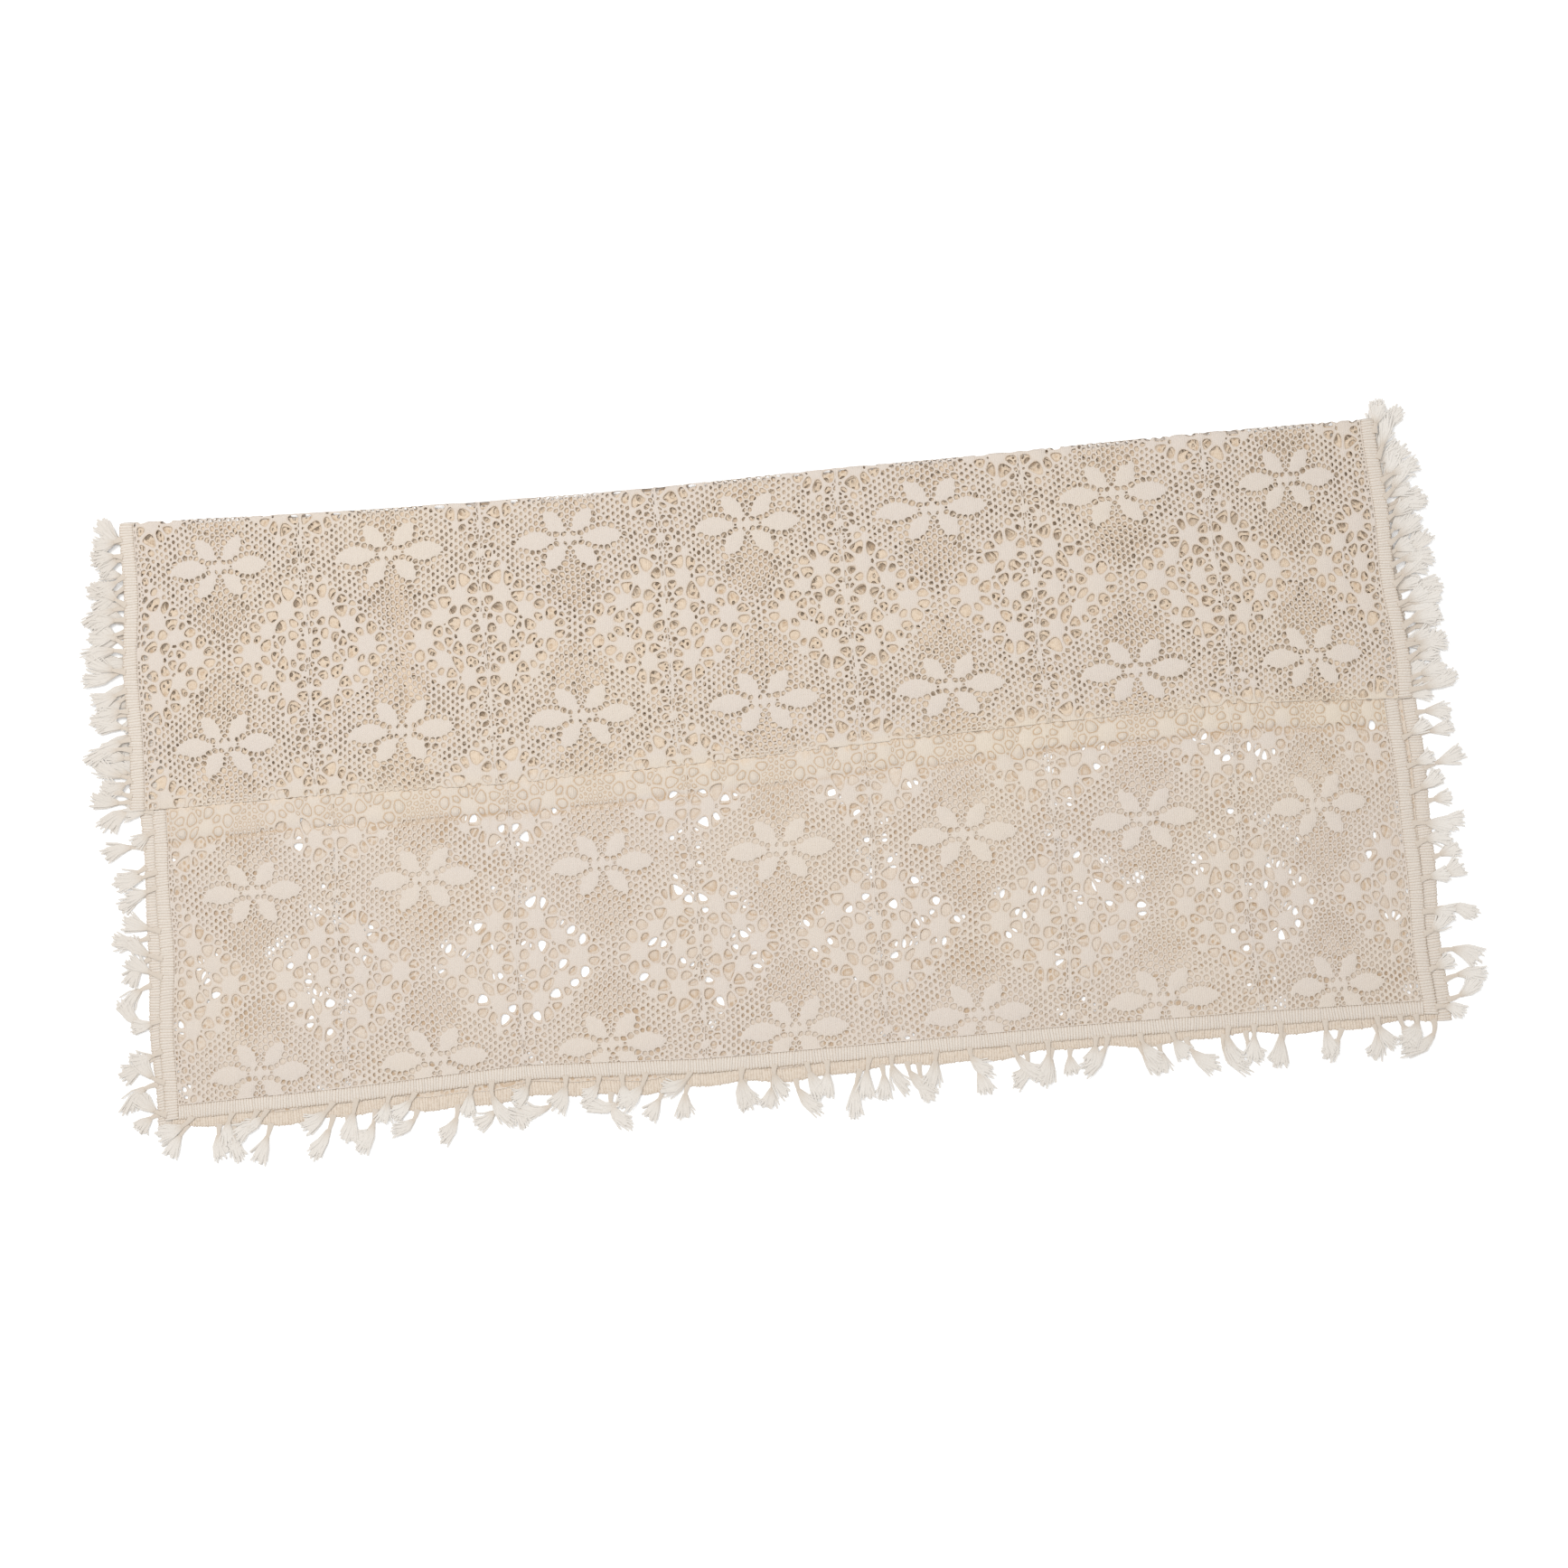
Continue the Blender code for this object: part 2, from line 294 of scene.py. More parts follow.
def lay_on_folds(across, along, lift):
    """Points of the folded cloth, lifted off its middle by so much."""
    top, middle = turn_centres(across)
    front_end, under_start, under_end, flap_start, flap_end, back_start = fold_marks(across)

    def turned_by(start, end):
        return np.pi * np.clip((along - start) / (end - start), 0, 1)

    inner_turn = turned_by(front_end, under_start)
    middle_turn = turned_by(under_end, flap_start)
    top_turn = turned_by(flap_end, back_start)
    under_share = (along - under_start) / (under_end - under_start)
    beyond = (along - back_start) * REPEAT
    drawn = DRAWN_OUT * np.clip(beyond / (DRAWN_LENGTH - DRAWN_OUT), 0, 1)
    ripple = sway(across, RIPPLE) * np.clip((beyond - RIPPLE_START) / RIPPLE_RUN, 0, 1)
    ends = (front_end, under_start, under_end, flap_start, flap_end, back_start)
    places = [along <= end for end in ends]
    y = np.select(places, [
        FRONT_ROW_Y + along * REPEAT,
        top + TIGHT_TURN * np.sin(inner_turn),
        top + (middle - top) * under_share,
        middle - TIGHT_TURN * np.sin(middle_turn),
        middle + (along - flap_start) * REPEAT,
        top + TOP_TURN * np.sin(top_turn),
    ], top - beyond - drawn + ripple)
    z = np.select(places, [
        FRONT_Z + 0 * y,
        FRONT_Z + TIGHT_TURN * (1 - np.cos(inner_turn)),
        UNDER_Z + 0 * y,
        UNDER_Z + TIGHT_TURN * (1 - np.cos(middle_turn)),
        FLAP_Z + 0 * y,
        BACK_Z + TOP_TURN * (1 + np.cos(top_turn)),
    ], BACK_Z)
    settled = np.where(y < middle, NEAR_PRESSED, FAR_PRESSED)
    at_fold = np.exp(-np.abs(y - middle) / PRESSED_REACH)
    pressed = settled + (FOLD_PRESSED - settled) * at_fold
    z = z - (z - BACK_Z) * pressed
    heading = np.select(places, [
        0 * y, inner_turn, np.pi + 0 * y, np.pi - middle_turn, 0 * y, -top_turn,
    ], np.pi)

    x = 0
    for side, weight in (("left", 1 - across), ("right", across)):
        hem, front, inner, fold, over, back, back_hem = (
            getattr(edges, side) for edges in (
                FRONT_HEM, FRONT_MIDDLE, INNER_FOLD, MIDDLE_FOLD, TOP_FOLD, BACK_MIDDLE, BACK_HEM))
        heights = [HEM_HEIGHT, FOLD_HEIGHT, TOP_HEIGHT]
        on_front = np.interp(y, heights, [hem, front, inner])
        on_under = np.interp(y, heights, [fold, fold, inner])
        on_flap = np.interp(y, heights, [fold, fold, over])
        on_back = np.interp(y, heights, [back_hem, back, over])
        x = x + weight * np.select(
            places, [on_front, on_front, on_under, on_flap, on_flap, on_flap], on_back)
    lift = lift + waves(x, y, z)
    risen = z + lift * np.abs(np.cos(heading))
    return np.stack([
        x + drift(x, y, z), y - lift * np.sin(heading), np.maximum(risen, FLOOR_GAP),
    ], axis=1)


corners = lay_on_folds(np.array([0.0, 1.0]), np.array([first_mark, last_mark]), np.zeros(2))
print("the cloth runs from", np.round(corners[0], 3), "to", np.round(corners[1], 3))

# %% [markdown]
# ## The lace pattern
# Lace is worked over a pricking, a card full of pin holes. Here too the
# pattern is a set of points, one for each hole and one for each patch of close
# cloth. Triangles are drawn between neighbouring points, and their dual has
# one cell for each point: the lines between cells become the threads. Every
# point has a reach, and a line lies where two reaches meet, so that a large
# hole pushes its small neighbours away.

# %% Leaves, spiders and ovals of one repeat
STRIP_WIDTH = 0.1280
ROWS, COLUMNS = 25, 19
PIN_U = STRIP_WIDTH / (2 * COLUMNS)
PIN_V = REPEAT / (2 * ROWS)
CLOTH, NET, CLOSE_NET, ROUND, SMALL = range(5)
Site = namedtuple("Site", "u v reach kind")
Leaf = namedtuple("Leaf", "u v half_length half_width turn")

# The flower in metres: its middle, a wide leaf to each side and four slanted ones
FLOWER_MIDDLE = (
    (0, 0), (0.0030, 0), (-0.0030, 0), (0, 0.0030), (0, -0.0030), (0.0058, 0), (-0.0058, 0))
SIDE_LEAF = Leaf(0.0242, 0.0, 0.0132, 0.0064, 0.0)
SLANTED_LEAF = Leaf(0.0106, 0.0130, 0.0100, 0.0056, math.radians(50))
LEAVES = [SIDE_LEAF._replace(u=side * SIDE_LEAF.u) for side in (1, -1)]
for side in (1, -1):
    for end in (1, -1):
        LEAVES.append(SLANTED_LEAF._replace(
            u=side * SLANTED_LEAF.u, v=end * SLANTED_LEAF.v, turn=side * end * SLANTED_LEAF.turn))

# Close-worked spiders and the holes round them, in pins from the flower's middle
SPIDERS = ((6.2, 25), (10.3, 19.3), (14.4, 13.6), (14.4, 25))
SPIDER_HOLES = ((2.9, 1.75), (1.2, 3.95))
OVALS = ((17.2, 2.5), (15.2, 5.5), (17.1, 7.6), (17.1, 19.3))
BARS = (2.7, 3.75, 4.8)
DIAMOND_V = 0.0330
DIAMOND_HALF = 0.0230

# What is pricked: its reach in metres, its kind, and how much reach it may share
Pin = namedtuple("Pin", "reach kind overlap")
MIDDLE = Pin(0.0014, CLOTH, 0.5)
LEAF_BODY = Pin(0.0014, CLOTH, 0.6)
LEAF_HOLE = Pin(0.0020, NET, 0.38)
BAR_HOLE = Pin(0.0012, SMALL, 0.6)
SPIDER_BODY = Pin(0.0040, CLOTH, 0.6)
SPIDER_HOLE = Pin(0.0052, ROUND, 0.30)
OVAL_HOLE = Pin(0.0036, ROUND, 0.35)
EDGE_BODY = Pin(0.0018, CLOTH, 1.0)
SEAM_BODY = Pin(0.0013, CLOTH, 1.0)
SEAM_HOLE = Pin(0.0013, SMALL, 0.6)
LEAF_PITCH, LEAF_HOLE_PITCH = 0.0030, 0.0043
LEAF_MARGIN = 0.0008


def mirrored(u, v):
    """A place in pins and its mirror images, in metres."""
    return sorted({(a * u * PIN_U, b * v * PIN_V) for a in (1, -1) for b in (1, -1)})


def on_leaf(leaf, along, across):
    """A place given along and across a leaf."""
    cosine, sine = math.cos(leaf.turn), math.sin(leaf.turn)
    return leaf.u + along * cosine - across * sine, leaf.v + along * sine + across * cosine


def leaf_half_width(leaf, along, margin):
    """Half the width of a leaf, grown by a margin, at a place along it."""
    share = along / (leaf.half_length + margin)
    return (leaf.half_width + margin) * max(0.0, 1 - share * share) ** 0.8


def in_leaf(leaf, u, v, margin):
    """Whether a place lies in a leaf grown by a margin."""
    away_u, away_v = u - leaf.u, v - leaf.v
    cosine, sine = math.cos(leaf.turn), math.sin(leaf.turn)
    along, across = away_u * cosine + away_v * sine, away_v * cosine - away_u * sine
    return abs(across) < leaf_half_width(leaf, along, margin)


def leaf_outline(leaf, margin, pitch):
    """Places round a leaf at a distance outside its edge."""
    length = leaf.half_length + margin
    steps = round(2 * length / pitch)
    for step in range(steps + 1):
        along = length * (2 * step / steps - 1)
        across = leaf_half_width(leaf, along, margin)
        for turn in ((1, -1) if across > pitch / 4 else (1,)):
            yield on_leaf(leaf, along, turn * across)


# %% The points of one repeat
class Pricking:
    """The points of one repeat, each kept clear of the ones before it."""

    def __init__(self, sites=()):
        self.sites = list(sites)

    def room(self, u, v):
        """Distance to the reach of the nearest point, also across the repeat's ends."""
        best = 1.0
        for site in self.sites:
            away = abs(v - site.v) % REPEAT
            away = min(away, REPEAT - away)
            best = min(best, math.hypot(u - site.u, away) - site.reach)
        return best

    def prick(self, u, v, pin):
        """Adds a point if there is room for most of its reach."""
        if self.room(u, v) > pin.reach * (1 - 2 * pin.overlap):
            self.sites.append(Site(u, v, pin.reach, pin.kind))


def flower_points(card):
    """The flower: its middle, leaves and bars, and the holes round them."""
    for u, v in FLOWER_MIDDLE:
        card.prick(u, v, MIDDLE)
    for leaf in LEAVES:
        for u, v in leaf_outline(leaf, -LEAF_BODY.reach, LEAF_PITCH):
            card.prick(u, v, LEAF_BODY)
    for bar in BARS:
        for u, v in mirrored(0, bar):
            card.prick(u, v, BAR_HOLE)
    for leaf in LEAVES:
        others = [other for other in LEAVES if other != leaf]
        for u, v in leaf_outline(leaf, LEAF_HOLE.reach, LEAF_HOLE_PITCH):
            if not any(in_leaf(other, u, v, LEAF_MARGIN) for other in others):
                card.prick(u, v, LEAF_HOLE)


def spider_points(card):
    """The spiders, with the ring of holes round each."""
    for place in SPIDERS:
        for u, v in mirrored(*place):
            card.prick(u, v, SPIDER_BODY)
    for place in SPIDERS:
        for u, v in mirrored(*place):
            for hole in SPIDER_HOLES:
                for away_u, away_v in mirrored(*hole):
                    card.prick(u + away_u, v + away_v, SPIDER_HOLE)
    for place in OVALS:
        for u, v in mirrored(*place):
            card.prick(u, v, OVAL_HOLE)


# Columns by the seam, in pins from the middle, and the share of their points that are holes
EDGE_COLUMN, EDGE_HOLES = 20.4, 0.25
SEAM_COLUMN, SEAM_HOLES = 19.0, 0.55
HOLE_COLUMN, HOLE_CHANCE = 18.2, 0.8


def body_or_hole(pin, share, dice):
    """This pin, or for this share of the draws a small hole in its place."""
    return pin._replace(kind=SMALL) if dice.random() < share else pin


def seam_points(card, dice):
    """A close-worked edge on each side, with small scattered holes beside it."""
    for row in range(-ROWS, ROWS, 2):
        for side in (1, -1):
            pin = body_or_hole(EDGE_BODY, EDGE_HOLES, dice)
            card.prick(side * EDGE_COLUMN * PIN_U, (row + 1) * PIN_V, pin)
            pin = body_or_hole(SEAM_BODY, SEAM_HOLES, dice)
            column = SEAM_COLUMN + dice.uniform(-0.45, 0.25)
            card.prick(side * column * PIN_U, (row + 1) * PIN_V, pin)
            if dice.random() < HOLE_CHANCE:
                column = HOLE_COLUMN + dice.uniform(-0.5, 0.4)
                card.prick(side * column * PIN_U, row * PIN_V, SEAM_HOLE)


NET_REACH, FILLER_REACH = 0.0021, 0.00147
NET_ROOM, FILLER_ROOM = 0.001155, 0.00063
NET_MARGIN = 0.0010
FILLER_HOLES = 0.7


def net_points(card, dice):
    """The net between the motifs, and a closer ground near the edges."""
    motifs = Pricking(card.sites)
    for row in range(-ROWS, ROWS):
        for column in range(1 - COLUMNS, COLUMNS):
            u, v = column * PIN_U, row * PIN_V
            if (row + column) % 2 or any(in_leaf(leaf, u, v, NET_MARGIN) for leaf in LEAVES):
                continue
            room = motifs.room(u, v)
            open_share = abs(abs(v) - DIAMOND_V) / DIAMOND_HALF + abs(u) / DIAMOND_HALF
            if abs(column) < COLUMNS - 1 and room > NET_ROOM:
                kind = NET if open_share < 1 else CLOSE_NET
                card.sites.append(Site(u, v, NET_REACH, kind))
            elif room > FILLER_ROOM:
                kind = SMALL if dice.random() < FILLER_HOLES else CLOTH
                card.sites.append(Site(u, v, FILLER_REACH, kind))


card = Pricking()
flower_points(card)
spider_points(card)
seam_points(card, random.Random(5))
net_points(card, random.Random(7))
holes = sum(site.kind != CLOTH for site in card.sites)
print(f"one repeat has {len(card.sites)} points, {holes} of them holes")

# %% [markdown]
# Blender's Delaunay function draws the triangles, and Geometry Nodes has a
# Dual Mesh node. The middle of each triangle is worked out first, nearer to
# the points of small reach, and goes with the triangle as an attribute; Set
# Position then moves each corner of the cells to it.

# %% From points to cells
def dual_group():
    """A node group that turns triangles into cells round their corners."""
    group = bpy.data.node_groups.new("cells", "GeometryNodeTree")
    for way in ("INPUT", "OUTPUT"):
        group.interface.new_socket("Geometry", in_out=way, socket_type="NodeSocketGeometry")
    start = group.nodes.new("NodeGroupInput")
    dual = group.nodes.new("GeometryNodeDualMesh")
    middle = group.nodes.new("GeometryNodeInputNamedAttribute")
    middle.data_type = "FLOAT_VECTOR"
    middle.inputs["Name"].default_value = "middle"
    place = group.nodes.new("GeometryNodeSetPosition")
    end = group.nodes.new("NodeGroupOutput")
    group.links.new(start.outputs[0], dual.inputs["Mesh"])
    group.links.new(dual.outputs[0], place.inputs["Geometry"])
    group.links.new(middle.outputs["Attribute"], place.inputs["Position"])
    group.links.new(place.outputs[0], end.inputs[0])
    return group


DUAL_GROUP = dual_group()
REPEATS = range(-2, 10)
BOUND_COLUMN, BOUND_END = 18.6, 19.5
CLOTH_SLIP, HOLE_SLIP = 0.0003, 0.00042


def scattered_sites(dice, bound_side):
    """The repeat's points all along the strip, each a little out of place.

    On the side that the braid binds, the seam's column is a row of holes.
    """
    sites = []
    for repeat in REPEATS:
        for site in card.sites:
            if BOUND_COLUMN < bound_side * site.u / PIN_U < BOUND_END:
                site = Site(bound_side * BOUND_COLUMN * PIN_U, site.v, NET_REACH, CLOSE_NET)
            slip = CLOTH_SLIP if site.kind == CLOTH else HOLE_SLIP
            sites.append(Site(
                site.u + dice.uniform(-slip, slip),
                site.v + repeat * REPEAT + dice.uniform(-slip, slip),
                site.reach * dice.uniform(0.88, 1.12), site.kind))
    return sites


def cell_mesh(sites):
    """A flat mesh with one face for each site, and each face's kind."""
    points = [Vector((site.u, site.v)) for site in sites]
    places, _, triangles, origins, _, _ = geometry.delaunay_2d_cdt(points, [], [], 0, 1e-7)
    source = [sites[origin[0]] for origin in origins]
    mesh = bpy.data.meshes.new("pricking")
    mesh.from_pydata([(site.u, site.v, 0) for site in source], [], triangles)
    kinds = mesh.attributes.new("kind", "INT", "POINT")
    kinds.data.foreach_set("value", [site.kind for site in source])
    corners = np.array([[source[index][:2] for index in triangle] for triangle in triangles])
    weights = np.array([[1 / source[index].reach for index in triangle] for triangle in triangles])
    middles = (corners * weights[:, :, None]).sum(1) / weights.sum(1)[:, None]
    middle = mesh.attributes.new("middle", "FLOAT_VECTOR", "FACE")
    middle.data.foreach_set("vector", np.c_[middles, np.zeros(len(middles))].ravel())
    holder = bpy.data.objects.new("pricking", mesh)
    bpy.context.scene.collection.objects.link(holder)
    holder.modifiers.new("cells", "NODES").node_group = DUAL_GROUP
    evaluated = holder.evaluated_get(bpy.context.evaluated_depsgraph_get())
    cells = bpy.data.meshes.new_from_object(evaluated)
    bpy.data.objects.remove(holder)
    bpy.data.meshes.remove(mesh)
    return cells


# %% [markdown]
# The cells are cut to the strip, and then every hole is opened: its face is
# pushed out as a copy, drawn in towards its middle and down a little, and
# deleted. The ring that is left is half a thread wide and slopes like one, and
# smooth shading makes it round. Where layers lie pressed together, the threads
# of one fill the holes of the next. There the copy stays, as a shallow pit: a
# small one is flat, a round one sags out of true, and one in the raised band
# below the middle fold swells up again.

# %% From cells to open lace
THREADS = {NET: 0.00076, CLOSE_NET: 0.00122, ROUND: 0.00120, SMALL: 0.00075}
HIDDEN_THREADS = {NET: 1.40, CLOSE_NET: 1.1, ROUND: 0.75, SMALL: 1.0}
BAND_THREADS = 1.2
CREST, RIM = 0.00030, -0.00006
UNEVEN = 0.00012
LONG_EDGE = 0.0016
LEAST_OPENING = 0.35
SWELL, SWELL_INSET = 0.00015, 0.0004

# The far half of the back layer is sealed, and its near half backs the front layer
TOP, HIDDEN, BACKING, SEALED, BAND = range(5)
# The shares of small and of round holes that are closed, and their pit and sag in metres
Layer = namedtuple("Layer", "closed closed_round pit sag")
LAYERS = {
    TOP: Layer(0.0, 0.0, 0.0, 0.0003),
    HIDDEN: Layer(0.30, 0.0, 0.0006, 0.0003),
    BACKING: Layer(1.0, 0.73, 0.00034, 0.0003),
    SEALED: Layer(1.0, 1.0, 0.0006, 0.0007),
    BAND: Layer(1.0, 1.0, 0.0006, 0.0003),
}


def cut(shape, across_u, at_low, at_high, keep_above):
    """Cuts the flat lace along a line through two places and clears one side."""
    low, high = Vector(at_low), Vector(at_high)
    away = (high - low).cross(Vector((0, 0, 1)))
    if (away.x if across_u else away.y) * (1 if keep_above else -1) > 0:
        away.negate()
    bmesh.ops.bisect_plane(
        shape, geom=shape.verts[:] + shape.edges[:] + shape.faces[:], dist=1e-7,
        plane_co=low, plane_no=away, clear_outer=True)


def rounded(places):
    """A closed ring of places, each drawn towards its neighbours."""
    for _ in range(2):
        places = [places[turn - 1] * 0.25 + place * 0.5 + places[(turn + 1) % len(places)] * 0.25
                  for turn, place in enumerate(places)]
    return places


# %% Open the holes
def open_holes(shape, dice, layer_of):
    """Opens or closes every hole face, leaving half a thread round it."""
    kind = shape.faces.layers.int["kind"]
    round_edges = {edge for face in shape.faces if face[kind] == ROUND for edge in face.edges
                   if edge.calc_length() > LONG_EDGE}
    for edge in sorted(round_edges, key=lambda edge: edge.index):
        bmesh.utils.edge_split(edge, edge.verts[0], 0.5)
    for vertex in shape.verts:
        vertex.co.z = CREST + dice.uniform(-UNEVEN, UNEVEN)
    holes = [face for face in shape.faces if face[kind] != CLOTH]
    inner = bmesh.ops.extrude_discrete_faces(shape, faces=holes)["faces"]
    opened, swollen, sagging = [], [], []
    for face in inner:
        middle = face.calc_center_median()
        layer = layer_of(middle)
        size = sum((vertex.co - middle).length for vertex in face.verts) / len(face.verts)
        thread = THREADS[face[kind]] * dice.uniform(0.85, 1.2)
        if layer in (HIDDEN, BACKING, SEALED):
            thread *= HIDDEN_THREADS[face[kind]]
        if layer == BAND:
            thread *= BAND_THREADS
        share = max(LEAST_OPENING, 1 - thread / size)
        places = [vertex.co.copy() for vertex in face.verts]
        if face[kind] == ROUND:
            places = rounded(places)
        way = LAYERS[layer]
        closed = dice.random() < (way.closed_round if face[kind] == ROUND else way.closed)
        pit = way.pit * dice.uniform(0.7, 1.5)
        for vertex, place in zip(face.verts, places):
            vertex.co = middle + (place - middle) * share
            vertex.co.z = CREST - pit if closed else RIM
        if not closed:
            opened.append(face)
        elif layer == BAND:
            swollen.append(face)
        elif face[kind] == ROUND:
            sagging.append(face)
    bmesh.ops.inset_individual(
        shape, faces=swollen, thickness=SWELL_INSET, use_even_offset=True)
    for vertex in {vertex for face in swollen for vertex in face.verts}:
        vertex.co.z = CREST - SWELL
    for vertex in bmesh.ops.poke(shape, faces=sagging)["verts"]:
        sag = LAYERS[layer_of(vertex.co)].sag
        vertex.co += Vector((dice.uniform(-sag, sag), dice.uniform(-sag, sag), 0))
        vertex.co.z = CREST - dice.uniform(0.1, 1.0) * sag
    bmesh.ops.delete(shape, geom=opened, context="FACES")
    bmesh.ops.remove_doubles(shape, verts=shape.verts, dist=1e-6)


# %% Lines where the lace bends
def crease(shape, marks):
    """Cuts lines across the lace where it will bend."""
    for low, high in marks:
        start = Vector((-STRIP_WIDTH / 2, low * REPEAT, 0))
        line = Vector((STRIP_WIDTH / 2, high * REPEAT, 0)) - start
        bmesh.ops.bisect_plane(
            shape, geom=shape.verts[:] + shape.edges[:] + shape.faces[:], dist=1e-6,
            plane_co=start, plane_no=line.cross(Vector((0, 0, 1))))


# Each turn's first mark, and how many flat parts bend round it
TURNS = ((0, 4), (2, 4), (4, 7))


def bend_lines(edges):
    """The lines across a strip where its folds need corners, in repeats."""
    marks = [fold_marks(edge) for edge in edges]
    lines = []
    for start, parts in TURNS:
        for part in range(parts + 1):
            share = part / parts
            lines.append([m[start] + (m[start + 1] - m[start]) * share for m in marks])
    return lines


# %% [markdown]
# A finish can be painted into a picture, which needs a map that says where
# every face lies in it. A strip is ten times longer than wide, so its map is
# cut into a few columns that stand side by side and fill the square.

# %% The map of a long strip
SIDE_MARGIN, END_MARGIN = 0.03, 0.01


def numbers(items, key, parts=1, kind=float):
    """One property of many items, with a row for each where it has parts."""
    found = np.empty(len(items) * parts, kind)
    items.foreach_get(key, found)
    return found.reshape(-1, parts) if parts > 1 else found


def add_map(mesh, flat, width, columns):
    """Lays the faces of a flat strip side by side in the picture's square."""
    start, length = flat[:, 1].min(), np.ptp(flat[:, 1]) * 1.0001
    vertices = numbers(mesh.loops, "vertex_index", 1, int)
    counts = numbers(mesh.polygons, "loop_total", 1, int)
    share = (flat[vertices, 1] - start) / length * columns
    firsts = np.cumsum(counts) - counts
    middles = np.add.reduceat(share, firsts) / counts
    column = np.repeat(np.floor(middles), counts)
    over = SIDE_MARGIN + (1 - 2 * SIDE_MARGIN) * (flat[vertices, 0] / width + 0.5)
    up = END_MARGIN + (1 - 2 * END_MARGIN) * (share - column)
    layer = mesh.uv_layers.new(name="OFBake")
    layer.uv.foreach_set("vector", np.c_[(column + over) / columns, up].ravel())


def add_attribute(mesh, name, values):
    """Gives each vertex a number or a vector that the finish can read."""
    kind, key = ("FLOAT", "value") if values.ndim == 1 else ("FLOAT_VECTOR", "vector")
    mesh.attributes.new(name, kind, "POINT").data.foreach_set(key, values.ravel())


# %% [markdown]
# A second crease runs below the middle fold, where the cloth was once folded
# otherwise: a raised band with a groove under it. The band gets a warm painted
# tint for the warm light among the layers there, and the groove painted shade.
# A short trough also crosses the flap near its left end, with a little painted
# shade.

# %% The second crease and the trough
BAND_WIDTHS = (0.02016, 0.01566)
BAND_SWAY = ((0.0009, 41), (0.0006, 103))
BAND_HEIGHT, BAND_EDGE, BAND_SHARE = 0.0008, 0.0008, 0.3
FOLD_OVERLAP, FOLD_EDGE, FOLD_MARGIN = 0.002, 0.001, 0.003
GROOVE, GROOVE_OFFSET, GROOVE_WIDTH = 0.0010, 0.0030, 0.0016
TROUGH, TROUGH_PLACE, TROUGH_WIDTH = 0.0013, 0.2195, 0.0075


def second_crease(across, y, on_front):
    """The raised band below the middle fold: its lift, its inside and its groove."""
    below = seam_values("middle_fold", across) - y
    width = between(BAND_WIDTHS, across) + sway(across, BAND_SWAY)
    edges = np.exp((below - width) / BAND_EDGE) + np.exp(-(below + FOLD_OVERLAP) / FOLD_EDGE)
    inside = on_front / (1 + edges)
    groove = on_front * np.exp(-((below - width - GROOVE_OFFSET) / GROOVE_WIDTH) ** 2)
    return BAND_HEIGHT * inside - GROOVE * groove, inside, groove


def layer_of(number, place):
    """Which kind of layer a place on a flat strip comes to lie in."""
    first, last = SEAM_MARKS[number - 1:number + 1]
    across = np.array([first + (place.x / STRIP_WIDTH + 0.5) * (last - first)])
    along = place.y / REPEAT
    marks = Marks(*(mark[0] for mark in fold_marks(across)))
    middle = seam_values("middle_fold", across)[0]
    if marks.under_end <= along <= marks.back_start:
        return TOP
    if along > marks.back_start:
        return BACKING if along > back_mark(across, middle)[0] else SEALED
    y = FRONT_ROW_Y + place.y
    if along > marks.front_end or y > middle + FOLD_MARGIN:
        return HIDDEN
    inside = second_crease(across, np.array([y]), 1.0)[1]
    return BAND if inside[0] > BAND_SHARE else TOP


# %% Lay a strip on the folds
LACE_COLUMNS = 3
# How much painted shade the groove and the trough get, and how far down a pit counts
GROOVE_SHADE, TROUGH_SHADE, DEEPEST = 0.70, 0.25, 1.25
# How much warm painted tint, for the light among the layers, the band and the fold's turn get, from
# the left to the right
BAND_TINT, TURN_TINT, TURN_REACH = (0.35, 1), (0.4, 1), 0.0055
# The share of painted layer shade on the back layer's near half, and how far short of the middle
# turn the hidden layer's shade stops, in repeats
NEAR_LAYER_SHADE, FOLD_SLACK = 0.4, 0.03


def lay_strip(strip, edges):
    """Lays a flat strip on the folds, with the numbers that its finish reads."""
    mesh = strip.data
    flat = numbers(mesh.vertices, "co", 3)
    across = edges[0] + (flat[:, 0] / STRIP_WIDTH + 0.5) * (edges[1] - edges[0])
    along = flat[:, 1] / REPEAT
    marks = fold_marks(across)
    on_front = (along < marks.front_end) * 1.0
    lift, inside, groove = second_crease(across, FRONT_ROW_Y + along * REPEAT, on_front)
    flap_share = (along - marks.flap_start) / (marks.flap_end - marks.flap_start)
    trough = np.exp(-((across - TROUGH_PLACE) / TROUGH_WIDTH) ** 2)
    trough = trough * np.sin(np.pi * np.clip(flap_share, 0, 1)) ** 0.6
    folded = lay_on_folds(across, along, flat[:, 2] + lift - TROUGH * trough)
    mesh.vertices.foreach_set("co", folded.ravel())

    depth = np.clip((CREST - flat[:, 2]) / (CREST - RIM), 0, DEEPEST)
    turned = np.exp(-((along - marks.flap_start) * REPEAT / TURN_REACH) ** 2)
    painted_tint = np.maximum(
        inside * between(BAND_TINT, across), turned * between(TURN_TINT, across))
    # Cloth under the flap, in the hidden layer and in the back layer gets painted layer shade
    far = folded[:, 1] > seam_values("middle_fold", across)
    under = (along > marks.under_start) & (along < marks.under_end - FOLD_SLACK)
    behind = (along > marks.back_start) * np.where(far, 1.0, NEAR_LAYER_SHADE)
    add_attribute(mesh, "flat_place", flat)
    add_attribute(mesh, "depth", depth + GROOVE_SHADE * groove + TROUGH_SHADE * trough)
    add_attribute(mesh, "painted_tint", painted_tint)
    add_attribute(mesh, "painted_layer_shade", np.maximum.reduce([under * 1.0, behind, on_front * far]))
    add_map(mesh, flat, STRIP_WIDTH, LACE_COLUMNS)
    mesh.update()


